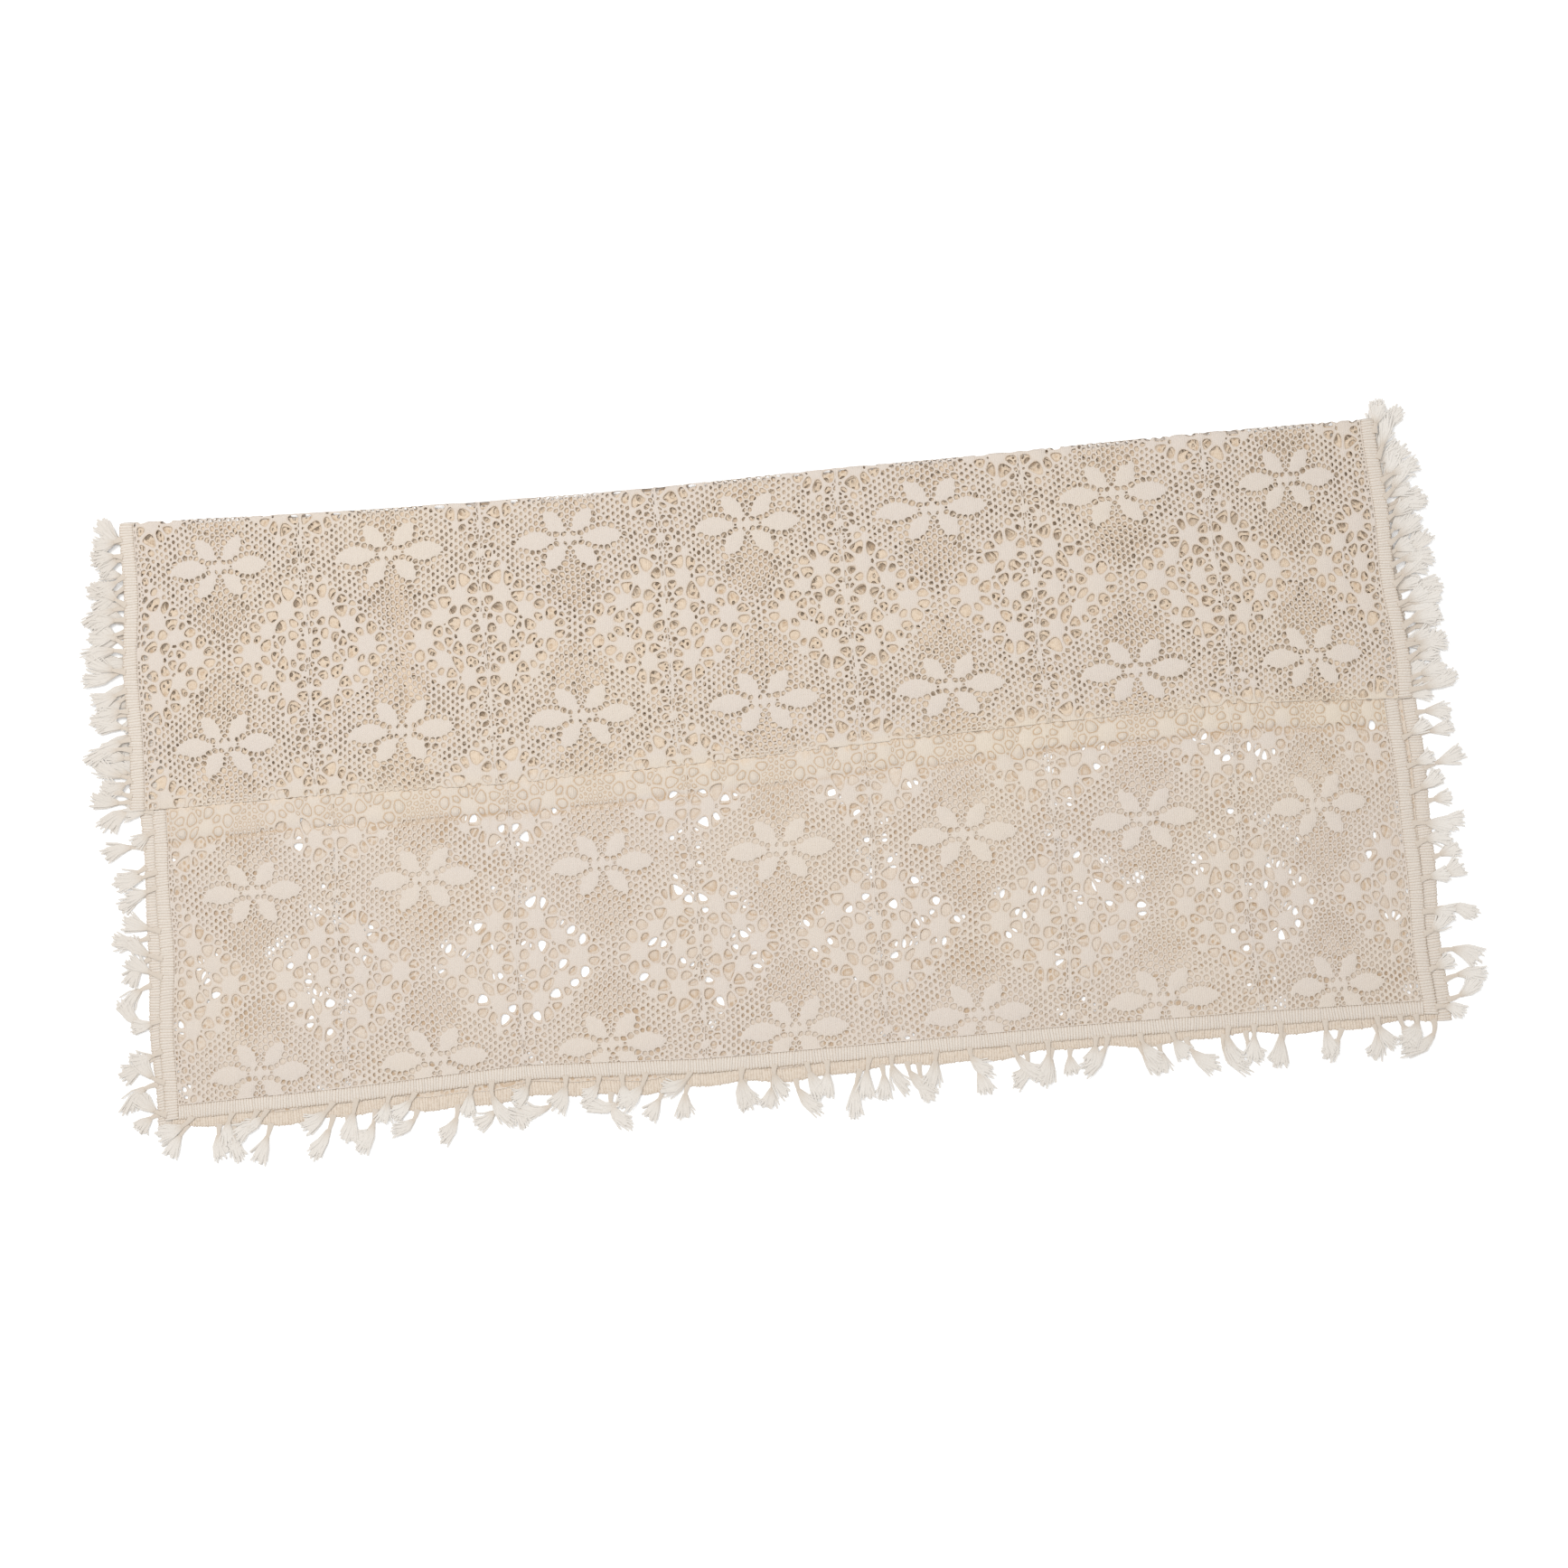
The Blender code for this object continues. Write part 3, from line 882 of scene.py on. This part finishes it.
# %% Make the seven strips
def make_strip(number):
    """One strip of open lace, folded from hem to hem."""
    dice = random.Random(100 + number)
    edges = SEAM_MARKS[number - 1:number + 1]
    bound_side = {1: -1, len(STRIP_WIDTHS): 1}.get(number, 0)
    cells = cell_mesh(scattered_sites(dice, bound_side))
    shape = bmesh.new()
    shape.from_mesh(cells)
    bpy.data.meshes.remove(cells)
    half = STRIP_WIDTH / 2
    cut(shape, True, (-half, 0, 0), (-half, 1, 0), True)
    cut(shape, True, (half, 0, 0), (half, 1, 0), False)
    for hem, keep_above in (("front", True), ("back", False)):
        low, high = (hem_mark(hem, edge, BRAID_WIDTH) * REPEAT for edge in edges)
        cut(shape, False, (-half, low, 0), (half, high, 0), keep_above)
    open_holes(shape, dice, lambda place: layer_of(number, place))
    crease(shape, bend_lines(edges))
    for face in shape.faces:
        face.smooth = True
    strip = object_from(shape, f"open_lace_{number}")
    lay_strip(strip, edges)
    return strip


def triangles_in(piece):
    """How many triangles a piece has."""
    return sum(len(face.vertices) - 2 for face in piece.data.polygons)


strips = [make_strip(number) for number in range(1, len(STRIP_WIDTHS) + 1)]
print("lace triangles", [triangles_in(strip) for strip in strips])

# %% [markdown]
# ## The braid
# The edge is bound with gimp, a flat braid of close ribs, each a loop of soft
# cord laid across it. A long grid with three rows to a rib is enough: one row
# lies low between two ribs and the other two stand high, and the ribs' ends
# reach out a little past the hollows. It is laid on the same folds as the lace,
# because it is sewn to it.

# %% Braid shape
BRAID_COLUMNS, BRAID_MAP_COLUMNS = 6, 11
BRAID_OVERLAP = 1.02
RIB_PITCH, RIB_HEIGHT = 0.0020, 0.00075
# A rib's rows as shares of its pitch, its low parts and its ends
RIB_ROWS = (0, 0.24, 0.76)
RIB_LOW, RIB_END = 0.35, 0.90
RIB_SLIP, RIB_DRIFT, RIB_BEND = 0.00022, 0.0004, 0.31
# Two paces that share no common step, so that no two ribs wobble alike
WOBBLE_PACES = (12.9898, 4.1414)
# The back hem's braid lies in the front one's shade, painted as this share of layer shade
HEM_LAYER_SHADE = 0.5


def ribbed_grid(length, slip):
    """A flat braid along Y: across it -1 to 1, along it in metres, its height, and the painted
    shade of its low rows and edges.
    """
    ribs = round(length / RIB_PITCH)
    shape = bmesh.new()
    bmesh.ops.create_grid(shape, x_segments=BRAID_COLUMNS, y_segments=3 * ribs, size=0.5)
    for face in shape.faces:
        face.smooth = True
    braid = object_from(shape, "braid")
    grid = numbers(braid.data.vertices, "co", 3)
    over = np.sin(np.pi * grid[:, 0])
    row = np.round((grid[:, 1] + 0.5) * 3 * ribs)
    rib, part = row // 3, row % 3
    high = (part > 0) * 1.0
    wobble = np.prod([np.sin(rib * pace + slip) for pace in WOBBLE_PACES], axis=0)
    along = (rib + np.choose(part.astype(int), RIB_ROWS)) * length / ribs
    along = along + RIB_SLIP * wobble + RIB_DRIFT * over * np.sin(rib * RIB_BEND + slip)
    crown = 1 - np.abs(over) ** 5
    rise = crown * between((RIB_LOW, 1), high) - RIB_LOW
    height = RIB_HEIGHT * rise * (1 + 0.18 * wobble)
    reach = RIB_END + (1 - RIB_END) * high * (1 + 0.8 * wobble)
    return braid, over * reach, along, height, np.clip(1 - high * crown, 0, 1)


# %% Lay the braids on the folds
def finish_braid(braid, name, across, along, height, depth, flat):
    """Lays a braid on the folds and keeps its flat places for the finish."""
    folded = lay_on_folds(across, along, height)
    braid.data.vertices.foreach_set("co", folded.ravel())
    braid.name = braid.data.name = name
    add_attribute(braid.data, "flat_place", flat)
    add_attribute(braid.data, "depth", depth)
    add_attribute(braid.data, "painted_layer_shade", 0 * depth + ("back" in name) * HEM_LAYER_SHADE)
    add_map(braid.data, flat, BRAID_WIDTH * 1.08, BRAID_MAP_COLUMNS)
    braid.data.update()
    return braid


def side_braid(name, outer, inner, slip):
    """The braid down one side edge, through every fold."""
    edge = np.array([outer])
    start = float(hem_mark("front", edge, 0)[0])
    length = (float(hem_mark("back", edge, 0)[0]) - start) * REPEAT
    braid, over, along, height, depth = ribbed_grid(length, slip)
    across = (outer + inner) / 2 + over * (inner - outer) / 2 * BRAID_OVERLAP
    flat = np.c_[over * BRAID_WIDTH / 2, along, height]
    return finish_braid(braid, name, across, start + along / REPEAT, height, depth, flat)


def hem_braid(name, hem, slip):
    """The braid along one hem, between the two side braids."""
    first, last = SEAM_MARKS[0], SEAM_MARKS[-1]
    length = (last - first) * CLOTH_WIDTH
    braid, over, along, height, depth = ribbed_grid(length, slip)
    across = first + along / CLOTH_WIDTH
    inset = BRAID_WIDTH / 2 * (1 + over * BRAID_OVERLAP)
    flat = np.c_[over * BRAID_WIDTH / 2, along, height]
    return finish_braid(braid, name, across, hem_mark(hem, across, inset), height, depth, flat)


braids = {
    "left": side_braid("ribbed_braid_left", 0.0, SEAM_MARKS[0], slip=1),
    "right": side_braid("ribbed_braid_right", 1.0, SEAM_MARKS[-1], slip=2),
    "back_hem": hem_braid("ribbed_braid_back_hem", "back", slip=21),
    "front_hem": hem_braid("ribbed_braid_front_hem", "front", slip=22),
}
print("braid triangles", [triangles_in(braid) for braid in braids.values()])

# %% [markdown]
# ## The tassels
# Each tassel is a short cord of loose threads that opens into a soft tuft. Ten
# are made lying straight, from thin cones that are cut across and pulled to
# shape. The sides of so flat a thread are kept sharp, because smooth shading
# would darken them and the tuft would look like wire. Then each place on the
# edge gets one of the ten, turned and curled in its own way, so that
# neighbours fall together as soft threads do.

# %% One straight tassel
CORD_LENGTH, CORD_TUCK = 0.0105, 0.002
CORD_HALF_WIDTH, CORD_HALF_HEIGHT, ROOT_SPREAD = 0.0013, 0.0010, 0.0014
TUFT_LENGTH, TUFT_HALF_WIDTH = 0.0180, 0.0064
FAN_START, FAN_LENGTH, FAN_WIDTH = 0.9, 0.88, 0.80
FAN_HALF_HEIGHTS = (0.0013, 0.0003)
STRANDS = 26
STRAND_START = 0.0010
STRAND_HALF_WIDTHS = (0.00090, 0.00065)
STRAND_HALF_HEIGHTS = (0.00028, 0.00012)
SHARP_ANGLE = math.radians(50)


def pulled_cone(shape, segments, cuts, curve):
    """A closed thread: a cone cut across, whose rings follow a curve."""
    before = len(shape.verts)
    ends = bmesh.ops.create_cone(
        shape, cap_ends=True, cap_tris=False, segments=segments,
        radius1=1, radius2=1, depth=1)["verts"]
    sides = {edge for vertex in ends for edge in vertex.link_edges
             if abs(edge.verts[0].co.z - edge.verts[1].co.z) > 0.5}
    bmesh.ops.subdivide_edges(shape, edges=list(sides), cuts=cuts)
    shape.verts.ensure_lookup_table()
    for vertex in shape.verts[before:]:
        middle, half_width, half_height = curve(vertex.co.z + 0.5)
        vertex.co = middle + Vector((vertex.co.x * half_width, 0, vertex.co.y * half_height))


def cord_curve(length):
    """The cord: wide where it leaves the braid, then narrow and round."""
    def curve(share):
        root = (1 - share) ** 2
        middle = Vector((0, (length + 2 * CORD_TUCK) * share - CORD_TUCK, 0))
        return middle, CORD_HALF_WIDTH + ROOT_SPREAD * root, CORD_HALF_HEIGHT

    return curve


def fan_curve(start, length, half_width):
    """The close middle of the tuft, a soft flat fan."""
    def curve(share):
        middle = Vector((0, start * FAN_START + length * FAN_LENGTH * share, 0))
        width = between((CORD_HALF_WIDTH, half_width * FAN_WIDTH), share ** 0.65)
        return middle, width, between(FAN_HALF_HEIGHTS, share)

    return curve


def strand_curve(dice, number, cord, tuft, half_width):
    """One loose thread of the tuft."""
    spread = (2 * (number + 0.5) / STRANDS - 1) + dice.uniform(-0.14, 0.14)
    start = cord * dice.uniform(0.80, 1.05)
    end = cord + tuft * dice.uniform(0.78, 1.12) * (1 - 0.16 * spread * spread)
    rise = dice.uniform(-0.0009, 0.0013)
    hook = dice.uniform(-0.0020, 0.0020)

    def curve(share):
        aside = spread * between((STRAND_START, half_width), share ** 0.85) + hook * share ** 3
        middle = Vector((aside, between((start, end), share), rise * between((0.6, 1), share)))
        return middle, between(STRAND_HALF_WIDTHS, share), between(STRAND_HALF_HEIGHTS, share)

    return curve


# %% Make ten tassels
def straight_tassel(number):
    """A mesh of one tassel that lies along Y."""
    dice = random.Random(500 + number)
    cord = CORD_LENGTH * dice.uniform(0.62, 1.15)
    tuft = TUFT_LENGTH * dice.uniform(0.88, 1.12)
    half_width = TUFT_HALF_WIDTH * dice.uniform(0.85, 1.2)
    shape = bmesh.new()
    pulled_cone(shape, 6, 3, cord_curve(cord))
    pulled_cone(shape, 6, 2, fan_curve(cord, tuft, half_width))
    for strand in range(STRANDS):
        pulled_cone(shape, 3, 1, strand_curve(dice, strand, cord, tuft, half_width))
    bmesh.ops.recalc_face_normals(shape, faces=shape.faces)
    for face in shape.faces:
        face.smooth = True
    for edge in shape.edges:
        edge.smooth = edge.calc_face_angle(0.0) < SHARP_ANGLE
    mesh = bpy.data.meshes.new("tassel")
    shape.to_mesh(mesh)
    shape.free()
    return mesh


TASSELS = [straight_tassel(number) for number in range(10)]
print("a tassel has", sum(len(face.vertices) - 2 for face in TASSELS[0].polygons), "triangles")

# %% Where the tassels hang
SIDE_PITCH, INNER_PITCH, HEM_PITCH = 0.0205, 0.0150, 0.0240
SIDE_END, HEM_END = 0.008, 0.012
HEM_SWAY = ((0.007, 61), (0.004, 29))
LYING = 0.0014
# Angles in degrees: the way they hang, how far they turn and curl at random,
# how far they curl as they lie lower, and how far they lean with their place
LEFT_WAY, LEFT_TURN, LEFT_CURL, LEFT_HOOKS, LEFT_LEAN = 180, 34, 55, (-60, 45), 12
RIGHT_WAY, RIGHT_TURN, RIGHT_CURL, RIGHT_HOOKS = 12, 15, 40, (-50, 45)
RIGHT_LEAN, CORNER_LEAN = 28, 32
HEM_WAY, HEM_TURN, HEM_CURL, HEM_HOOKS = 270, 17, 35, (-95, -45, -15, 20, 50, 90)
HEM_LEAN, END_LEAN = 28, 30
# Where those places are: along a side in metres, along a hem as shares of it
UPPER_START, UPPER_RUN, LOWER_RUN, CORNER = 0.02, 0.19, 0.20, 0.85
LEFT_END, RIGHT_END = 0.05, 0.07
Hang = namedtuple("Hang", "root turn curl height drop")


def clamped(value):
    """The value, kept between 0 and 1."""
    return min(1.0, max(0.0, value))


def side_hangs(side, dice):
    """Tassels down one side: root, direction, curl and heights of each."""
    across = 0.0 if side < 0 else 1.0
    edge = np.array([across])
    marks = [float(mark[0]) for mark in fold_marks(edge)]
    marks = [float(hem_mark("front", edge, 0)[0]), *marks, float(hem_mark("back", edge, 0)[0])]
    hangs = []
    for layer, (low, high) in enumerate(zip(marks[::2], marks[1::2])):
        length = (high - low) * REPEAT
        count = round((length - SIDE_END) / (SIDE_PITCH if layer in (0, 3) else INNER_PITCH))
        for index in range(count):
            share = (index + 0.5 + dice.uniform(-0.3, 0.3)) / count
            along = low + (high - low) * share
            root = Vector(lay_on_folds(edge, np.array([along]), np.zeros(1))[0])
            upper, lower = clamped((root.y - UPPER_START) / UPPER_RUN), clamped(-root.y / LOWER_RUN)
            if side < 0:
                turn = LEFT_WAY + dice.uniform(-LEFT_TURN, LEFT_TURN) + LEFT_LEAN * lower
                curl = dice.uniform(-LEFT_CURL, LEFT_CURL) + dice.choice(LEFT_HOOKS) * lower
            else:
                steep = clamped((upper - CORNER) / (1 - CORNER))
                turn = RIGHT_WAY + RIGHT_LEAN * upper + CORNER_LEAN * steep
                turn += dice.uniform(-RIGHT_TURN, RIGHT_TURN)
                curl = dice.uniform(-RIGHT_CURL, RIGHT_CURL) + dice.choice(RIGHT_HOOKS) * lower
            drop = LYING + 0.35 * root.z
            hangs.append(Hang(root, math.radians(turn), math.radians(curl), root.z, drop))
    return hangs


def hem_hangs(hem, dice):
    """Tassels along one hem."""
    count = round((CLOTH_WIDTH - HEM_END) / HEM_PITCH)
    hangs = []
    for index in range(count):
        share = (index + 0.5 + dice.uniform(-0.42, 0.42)) / count
        share += sway(share, HEM_SWAY)
        edge = np.array([share])
        root = Vector(lay_on_folds(edge, hem_mark(hem, edge, 0), np.zeros(1))[0])
        ends = clamped(1 - (1 - share) / RIGHT_END) - clamped(1 - share / LEFT_END)
        turn = HEM_WAY - HEM_LEAN * (1 - share) ** 2 + END_LEAN * ends
        turn += dice.uniform(-HEM_TURN, HEM_TURN)
        curl = dice.uniform(-HEM_CURL, HEM_CURL) + dice.choice(HEM_HOOKS)
        drop = LYING + 0.3 * root.z
        hangs.append(Hang(root, math.radians(turn), math.radians(curl), root.z, drop))
    return hangs


# %% Hang the tassels
FLOOR_CLEARANCE = 0.0003
NECK = 0.008
# How much painted shade the cord gets where it leaves the braid
CORD_SHADE = 0.9
FALL_PACE = 1.6


def hung(place, hang, scale):
    """A point of a straight tassel, moved to where the tassel hangs."""
    along = place.y * scale
    share = max(0.0, along / (CORD_LENGTH + TUFT_LENGTH))
    heading = hang.turn + hang.curl * share
    chord = hang.turn + hang.curl * share / 2
    fall = clamped(share * FALL_PACE)
    height = hang.height + (hang.drop - hang.height) * fall * fall * (3 - 2 * fall)
    return Vector((
        hang.root.x + along * math.cos(chord) - place.x * math.sin(heading),
        hang.root.y + along * math.sin(chord) + place.x * math.cos(heading),
        max(FLOOR_CLEARANCE, height + place.z),
    ))


def make_fringe(name, hangs, dice, painted_tip_light):
    """All the tassels of one edge as one piece, their tufts painted lighter by so much."""
    shape = bmesh.new()
    flats = []
    for hang in hangs:
        before = len(shape.verts)
        shape.from_mesh(dice.choice(TASSELS))
        shape.verts.ensure_lookup_table()
        scale = dice.uniform(0.66, 1.10)
        slip = dice.uniform(0, 10)
        for vertex in shape.verts[before:]:
            flats.append((vertex.co.x, vertex.co.y, slip))
            vertex.co = hung(vertex.co, hang, scale)
    fringe = object_from(shape, name)
    flats = np.array(flats)
    add_attribute(fringe.data, "flat_place", flats)
    beyond_neck = np.clip((flats[:, 1] - CORD_LENGTH) / NECK, 0, 1)
    add_attribute(fringe.data, "depth", CORD_SHADE * (1 - beyond_neck))
    add_attribute(fringe.data, "painted_tint", beyond_neck * painted_tip_light)
    print(name, "has", len(hangs), "tassels")
    return fringe


fringes = {}
# Painted light on the tufts, against the shade between their threads: most on the right fringe,
# which the lamps leave darker
for number, (edge, hang, side, painted_tip_light) in enumerate((
        ("left", side_hangs, -1, 0.3), ("right", side_hangs, 1, 1.3),
        ("back_hem", hem_hangs, "back", 0.8), ("front_hem", hem_hangs, "front", 0.8)), 1):
    hangs = hang(side, random.Random(30 + number))
    dice = random.Random(40 + number)
    fringes[edge] = make_fringe(f"tassels_{edge}", hangs, dice, painted_tip_light)
print("tassel triangles", [triangles_in(fringe) for fringe in fringes.values()])

# %% [markdown]
# ## Finishes
# All the cloth is undyed cotton. It is matt and pale where a thread lies in the
# light. Where it turns down into a hole it is painted darker and warmer, as
# painted shade for the light there, which has already touched other threads. A
# number on each vertex, its depth, says how far down it is and how much of that
# painted shade it gets. Two more paint light and shade: a painted tint, warm on
# the lace's raised band and along the fold's turn and lighter on the tassels'
# tufts, and a painted layer shade on cloth lying between other layers, where a
# coarse painted light and dark stands for the threads of the next layer. Fine
# noise and a wave give the single threads. Tufts are so fine that light comes
# through, and a faint painted glow stands for that. The sums are written as
# ordinary arithmetic by a small class that stands for one output of a node.

# %% Shader arithmetic
class Value:
    """One output of a node. Arithmetic on it adds Math nodes."""

    def __init__(self, tree, socket=None):
        self.tree, self.socket = tree, socket

    def node(self, kind, settings=(), sockets=(), output=0):
        """Adds a node: its settings first, then its sockets' values or links."""
        made = self.tree.nodes.new(f"ShaderNode{kind}")
        for name, setting in dict(settings).items():
            setattr(made, name, setting)
        for name, value in dict(sockets).items():
            if isinstance(value, Value):
                self.tree.links.new(value.socket, made.inputs[name])
            else:
                made.inputs[name].default_value = value
        return Value(self.tree, made.outputs[output])

    def maths(self, operation, *values):
        return self.node("Math", {"operation": operation}, enumerate(values))

    def __add__(self, other):
        return self.maths("ADD", self, other)

    def __sub__(self, other):
        return self.maths("SUBTRACT", self, other)

    def __rsub__(self, other):
        return self.maths("SUBTRACT", other, self)

    def __mul__(self, other):
        return self.maths("MULTIPLY", self, other)

    __radd__, __rmul__ = __add__, __mul__

    def blend(self, first, second):
        """A colour between two, by this share."""
        return self.node("Mix", {"data_type": "RGBA"}, {0: self, 6: first, 7: second}, 2)


# %% Cotton
# Cloth between layers is painted this warmer, darker colour, as painted shade and the warm light
# bounced between the layers
LAYER_SHADE_COLOUR = (0.70, 0.575, 0.445, 1.0)
# Sizes of the noise, in cycles a metre
PATCH_SCALE, NEXT_LAYER_SCALE, YARN_SCALE, KNOT_SCALE = 9.0, 430.0, 900.0, 2600.0
# How much painted shade, painted tint and grain darken or tint the cotton, and how much threads,
# yarn and knots raise it
TINTED_HOLLOWS, LAYER_SHADE_HOLLOW_CUT = 0.20, 0.5
THREAD_SHADE, YARN_SHADE, NEXT_LAYER_SHADE = 0.10, 0.30, 2.2
TINT_WEIGHT, PATCH_AGE, LEAST_PATCH = 0.44, 0.9, 0.43
THREAD_HEIGHT, YARN_HEIGHT, KNOT_HEIGHT = 0.6, 0.8, 0.5
# Outputs by number: an Attribute's vector and number, and object coordinates
VECTOR, NUMBER, OBJECT = 1, 2, 3


def attribute(start, name, output):
    """Reads a vertex's own number or vector."""
    return start.node("Attribute", {"attribute_name": name}, (), output)


def noise(start, place, scale, detail=2.0):
    """Soft noise from 0 to 1 at places in metres."""
    return start.node("TexNoise", (), {"Vector": place, "Scale": scale, "Detail": detail})


def make_cotton(name, pale, deep, painted_tint, hollows, threads_per_metre, relief, roughness, glow=0.0):
    """A matt cotton: pale crests, painted shade in its hollows, and fine threads."""
    finish = bpy.data.materials.new(name)
    finish.use_nodes = True
    tree = finish.node_tree
    start = Value(tree)
    place = attribute(start, "flat_place", VECTOR)
    depth = attribute(start, "depth", NUMBER)
    tint_amount = attribute(start, "painted_tint", NUMBER)
    layer_shade = attribute(start, "painted_layer_shade", NUMBER)
    on_object = start.node("TexCoord", (), (), OBJECT)
    patches = noise(start, on_object, PATCH_SCALE, 3.0)
    next_layer_blotches = noise(start, place, NEXT_LAYER_SCALE)
    yarn = noise(start, place, YARN_SCALE)
    knots = noise(start, place, KNOT_SCALE)
    threads = start.node(
        "TexWave", {"bands_direction": "X"},
        {"Vector": place, "Scale": threads_per_metre, "Distortion": 1.6, "Detail": 1.0,
         "Detail Scale": 40.0}, 1)

    # Painted shade: darker and warmer the deeper a vertex lies, less so between layers
    shade_and_grain = depth * depth * depth * (hollows + tint_amount * TINTED_HOLLOWS)
    shade_and_grain = shade_and_grain * (1 - layer_shade * LAYER_SHADE_HOLLOW_CUT)
    shade_and_grain = shade_and_grain + (1 - threads) * THREAD_SHADE + (0.5 - yarn) * YARN_SHADE
    # Painted light and dark on cloth between layers, for the threads of the next layer
    shade_and_grain = shade_and_grain + layer_shade * (0.5 - next_layer_blotches) * NEXT_LAYER_SHADE
    patch_tone_and_tint = tint_amount * TINT_WEIGHT + (patches - LEAST_PATCH) * PATCH_AGE
    colour = patch_tone_and_tint.maths("MAXIMUM", patch_tone_and_tint, 0.0).blend(pale, painted_tint)
    colour = layer_shade.blend(colour, LAYER_SHADE_COLOUR)
    colour = shade_and_grain.maths("MAXIMUM", shade_and_grain, 0.0).blend(colour, deep)
    height = threads * THREAD_HEIGHT + yarn * YARN_HEIGHT + knots * KNOT_HEIGHT
    bump = start.node("Bump", (), {"Strength": 0.8, "Distance": relief, "Height": height})

    shader = tree.nodes["Principled BSDF"].inputs
    shader["Emission Color"].default_value = painted_tint
    shader["Emission Strength"].default_value = glow
    tree.links.new(colour.socket, shader["Base Color"])
    tree.links.new((roughness + 0.12 * (yarn - 0.5)).socket, shader["Roughness"])
    tree.links.new(bump.socket, shader["Normal"])
    return finish


# %% The three cottons
lace_cotton = make_cotton(
    "lace_cotton_open", pale=(0.656, 0.586, 0.524, 1.0), deep=(0.53, 0.385, 0.255, 1.0),
    painted_tint=(0.715, 0.62, 0.48, 1.0), hollows=0.56, threads_per_metre=209.0, relief=0.00035,
    roughness=0.86)
braid_cotton = make_cotton(
    "braid_cotton_ribbed", pale=(0.712, 0.648, 0.578, 1.0), deep=(0.46, 0.34, 0.23, 1.0),
    painted_tint=(0.656, 0.586, 0.524, 1.0), hollows=0.80, threads_per_metre=330.0, relief=0.00030,
    roughness=0.80)
# The tassels' glow is painted light, for the light that comes through their fine tufts
tassel_cotton = make_cotton(
    "tassel_cotton_loose", pale=(0.595, 0.55, 0.497, 1.0), deep=(0.50, 0.40, 0.30, 1.0),
    painted_tint=(0.735, 0.705, 0.665, 1.0), hollows=0.60, threads_per_metre=500.0, relief=0.00015,
    roughness=0.84, glow=0.05)
print("finishes", lace_cotton.name, braid_cotton.name, tassel_cotton.name)

# %% [markdown]
# ## Handing over
# Every piece stands for one CAD node, whose plain solid it hides, and rides on the one body.
# A strip's cut is a rectangle, but much of it is holes, so its area is that of
# its threads.

def hand_over(piece, node, finish):
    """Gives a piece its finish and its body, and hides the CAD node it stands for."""
    piece.data.materials.append(finish)
    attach(piece, "root")
    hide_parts(node)


def thread_area(strip):
    """The area of a flat strip's threads, without their slopes."""
    flat = numbers(strip.data.attributes["flat_place"].data, "vector", 3)
    strip.data.calc_loop_triangles()
    corners = numbers(strip.data.loop_triangles, "vertices", 3, int)
    first, second, third = flat[corners.T][:, :, :2]
    one, two = second - first, third - first
    return float(np.abs(one[:, 0] * two[:, 1] - one[:, 1] * two[:, 0]).sum() / 2)


for number, (strip, width) in enumerate(zip(strips, STRIP_WIDTHS), 1):
    hand_over(strip, f"lace_strip_{number}", lace_cotton)
    length = cloth_length - 2 * BRAID_WIDTH
    area = thread_area(strip) * width / STRIP_WIDTH
    print(strip.name, f"{width:.4f} by {length:.3f} m, {area / width / length:.0%} thread")
for place, braid in braids.items():
    hand_over(braid, f"braid_{place}", braid_cotton)
    hand_over(fringes[place], f"fringe_{place}", tassel_cotton)
    length = CLOTH_WIDTH - 2 * BRAID_WIDTH if "hem" in place else cloth_length
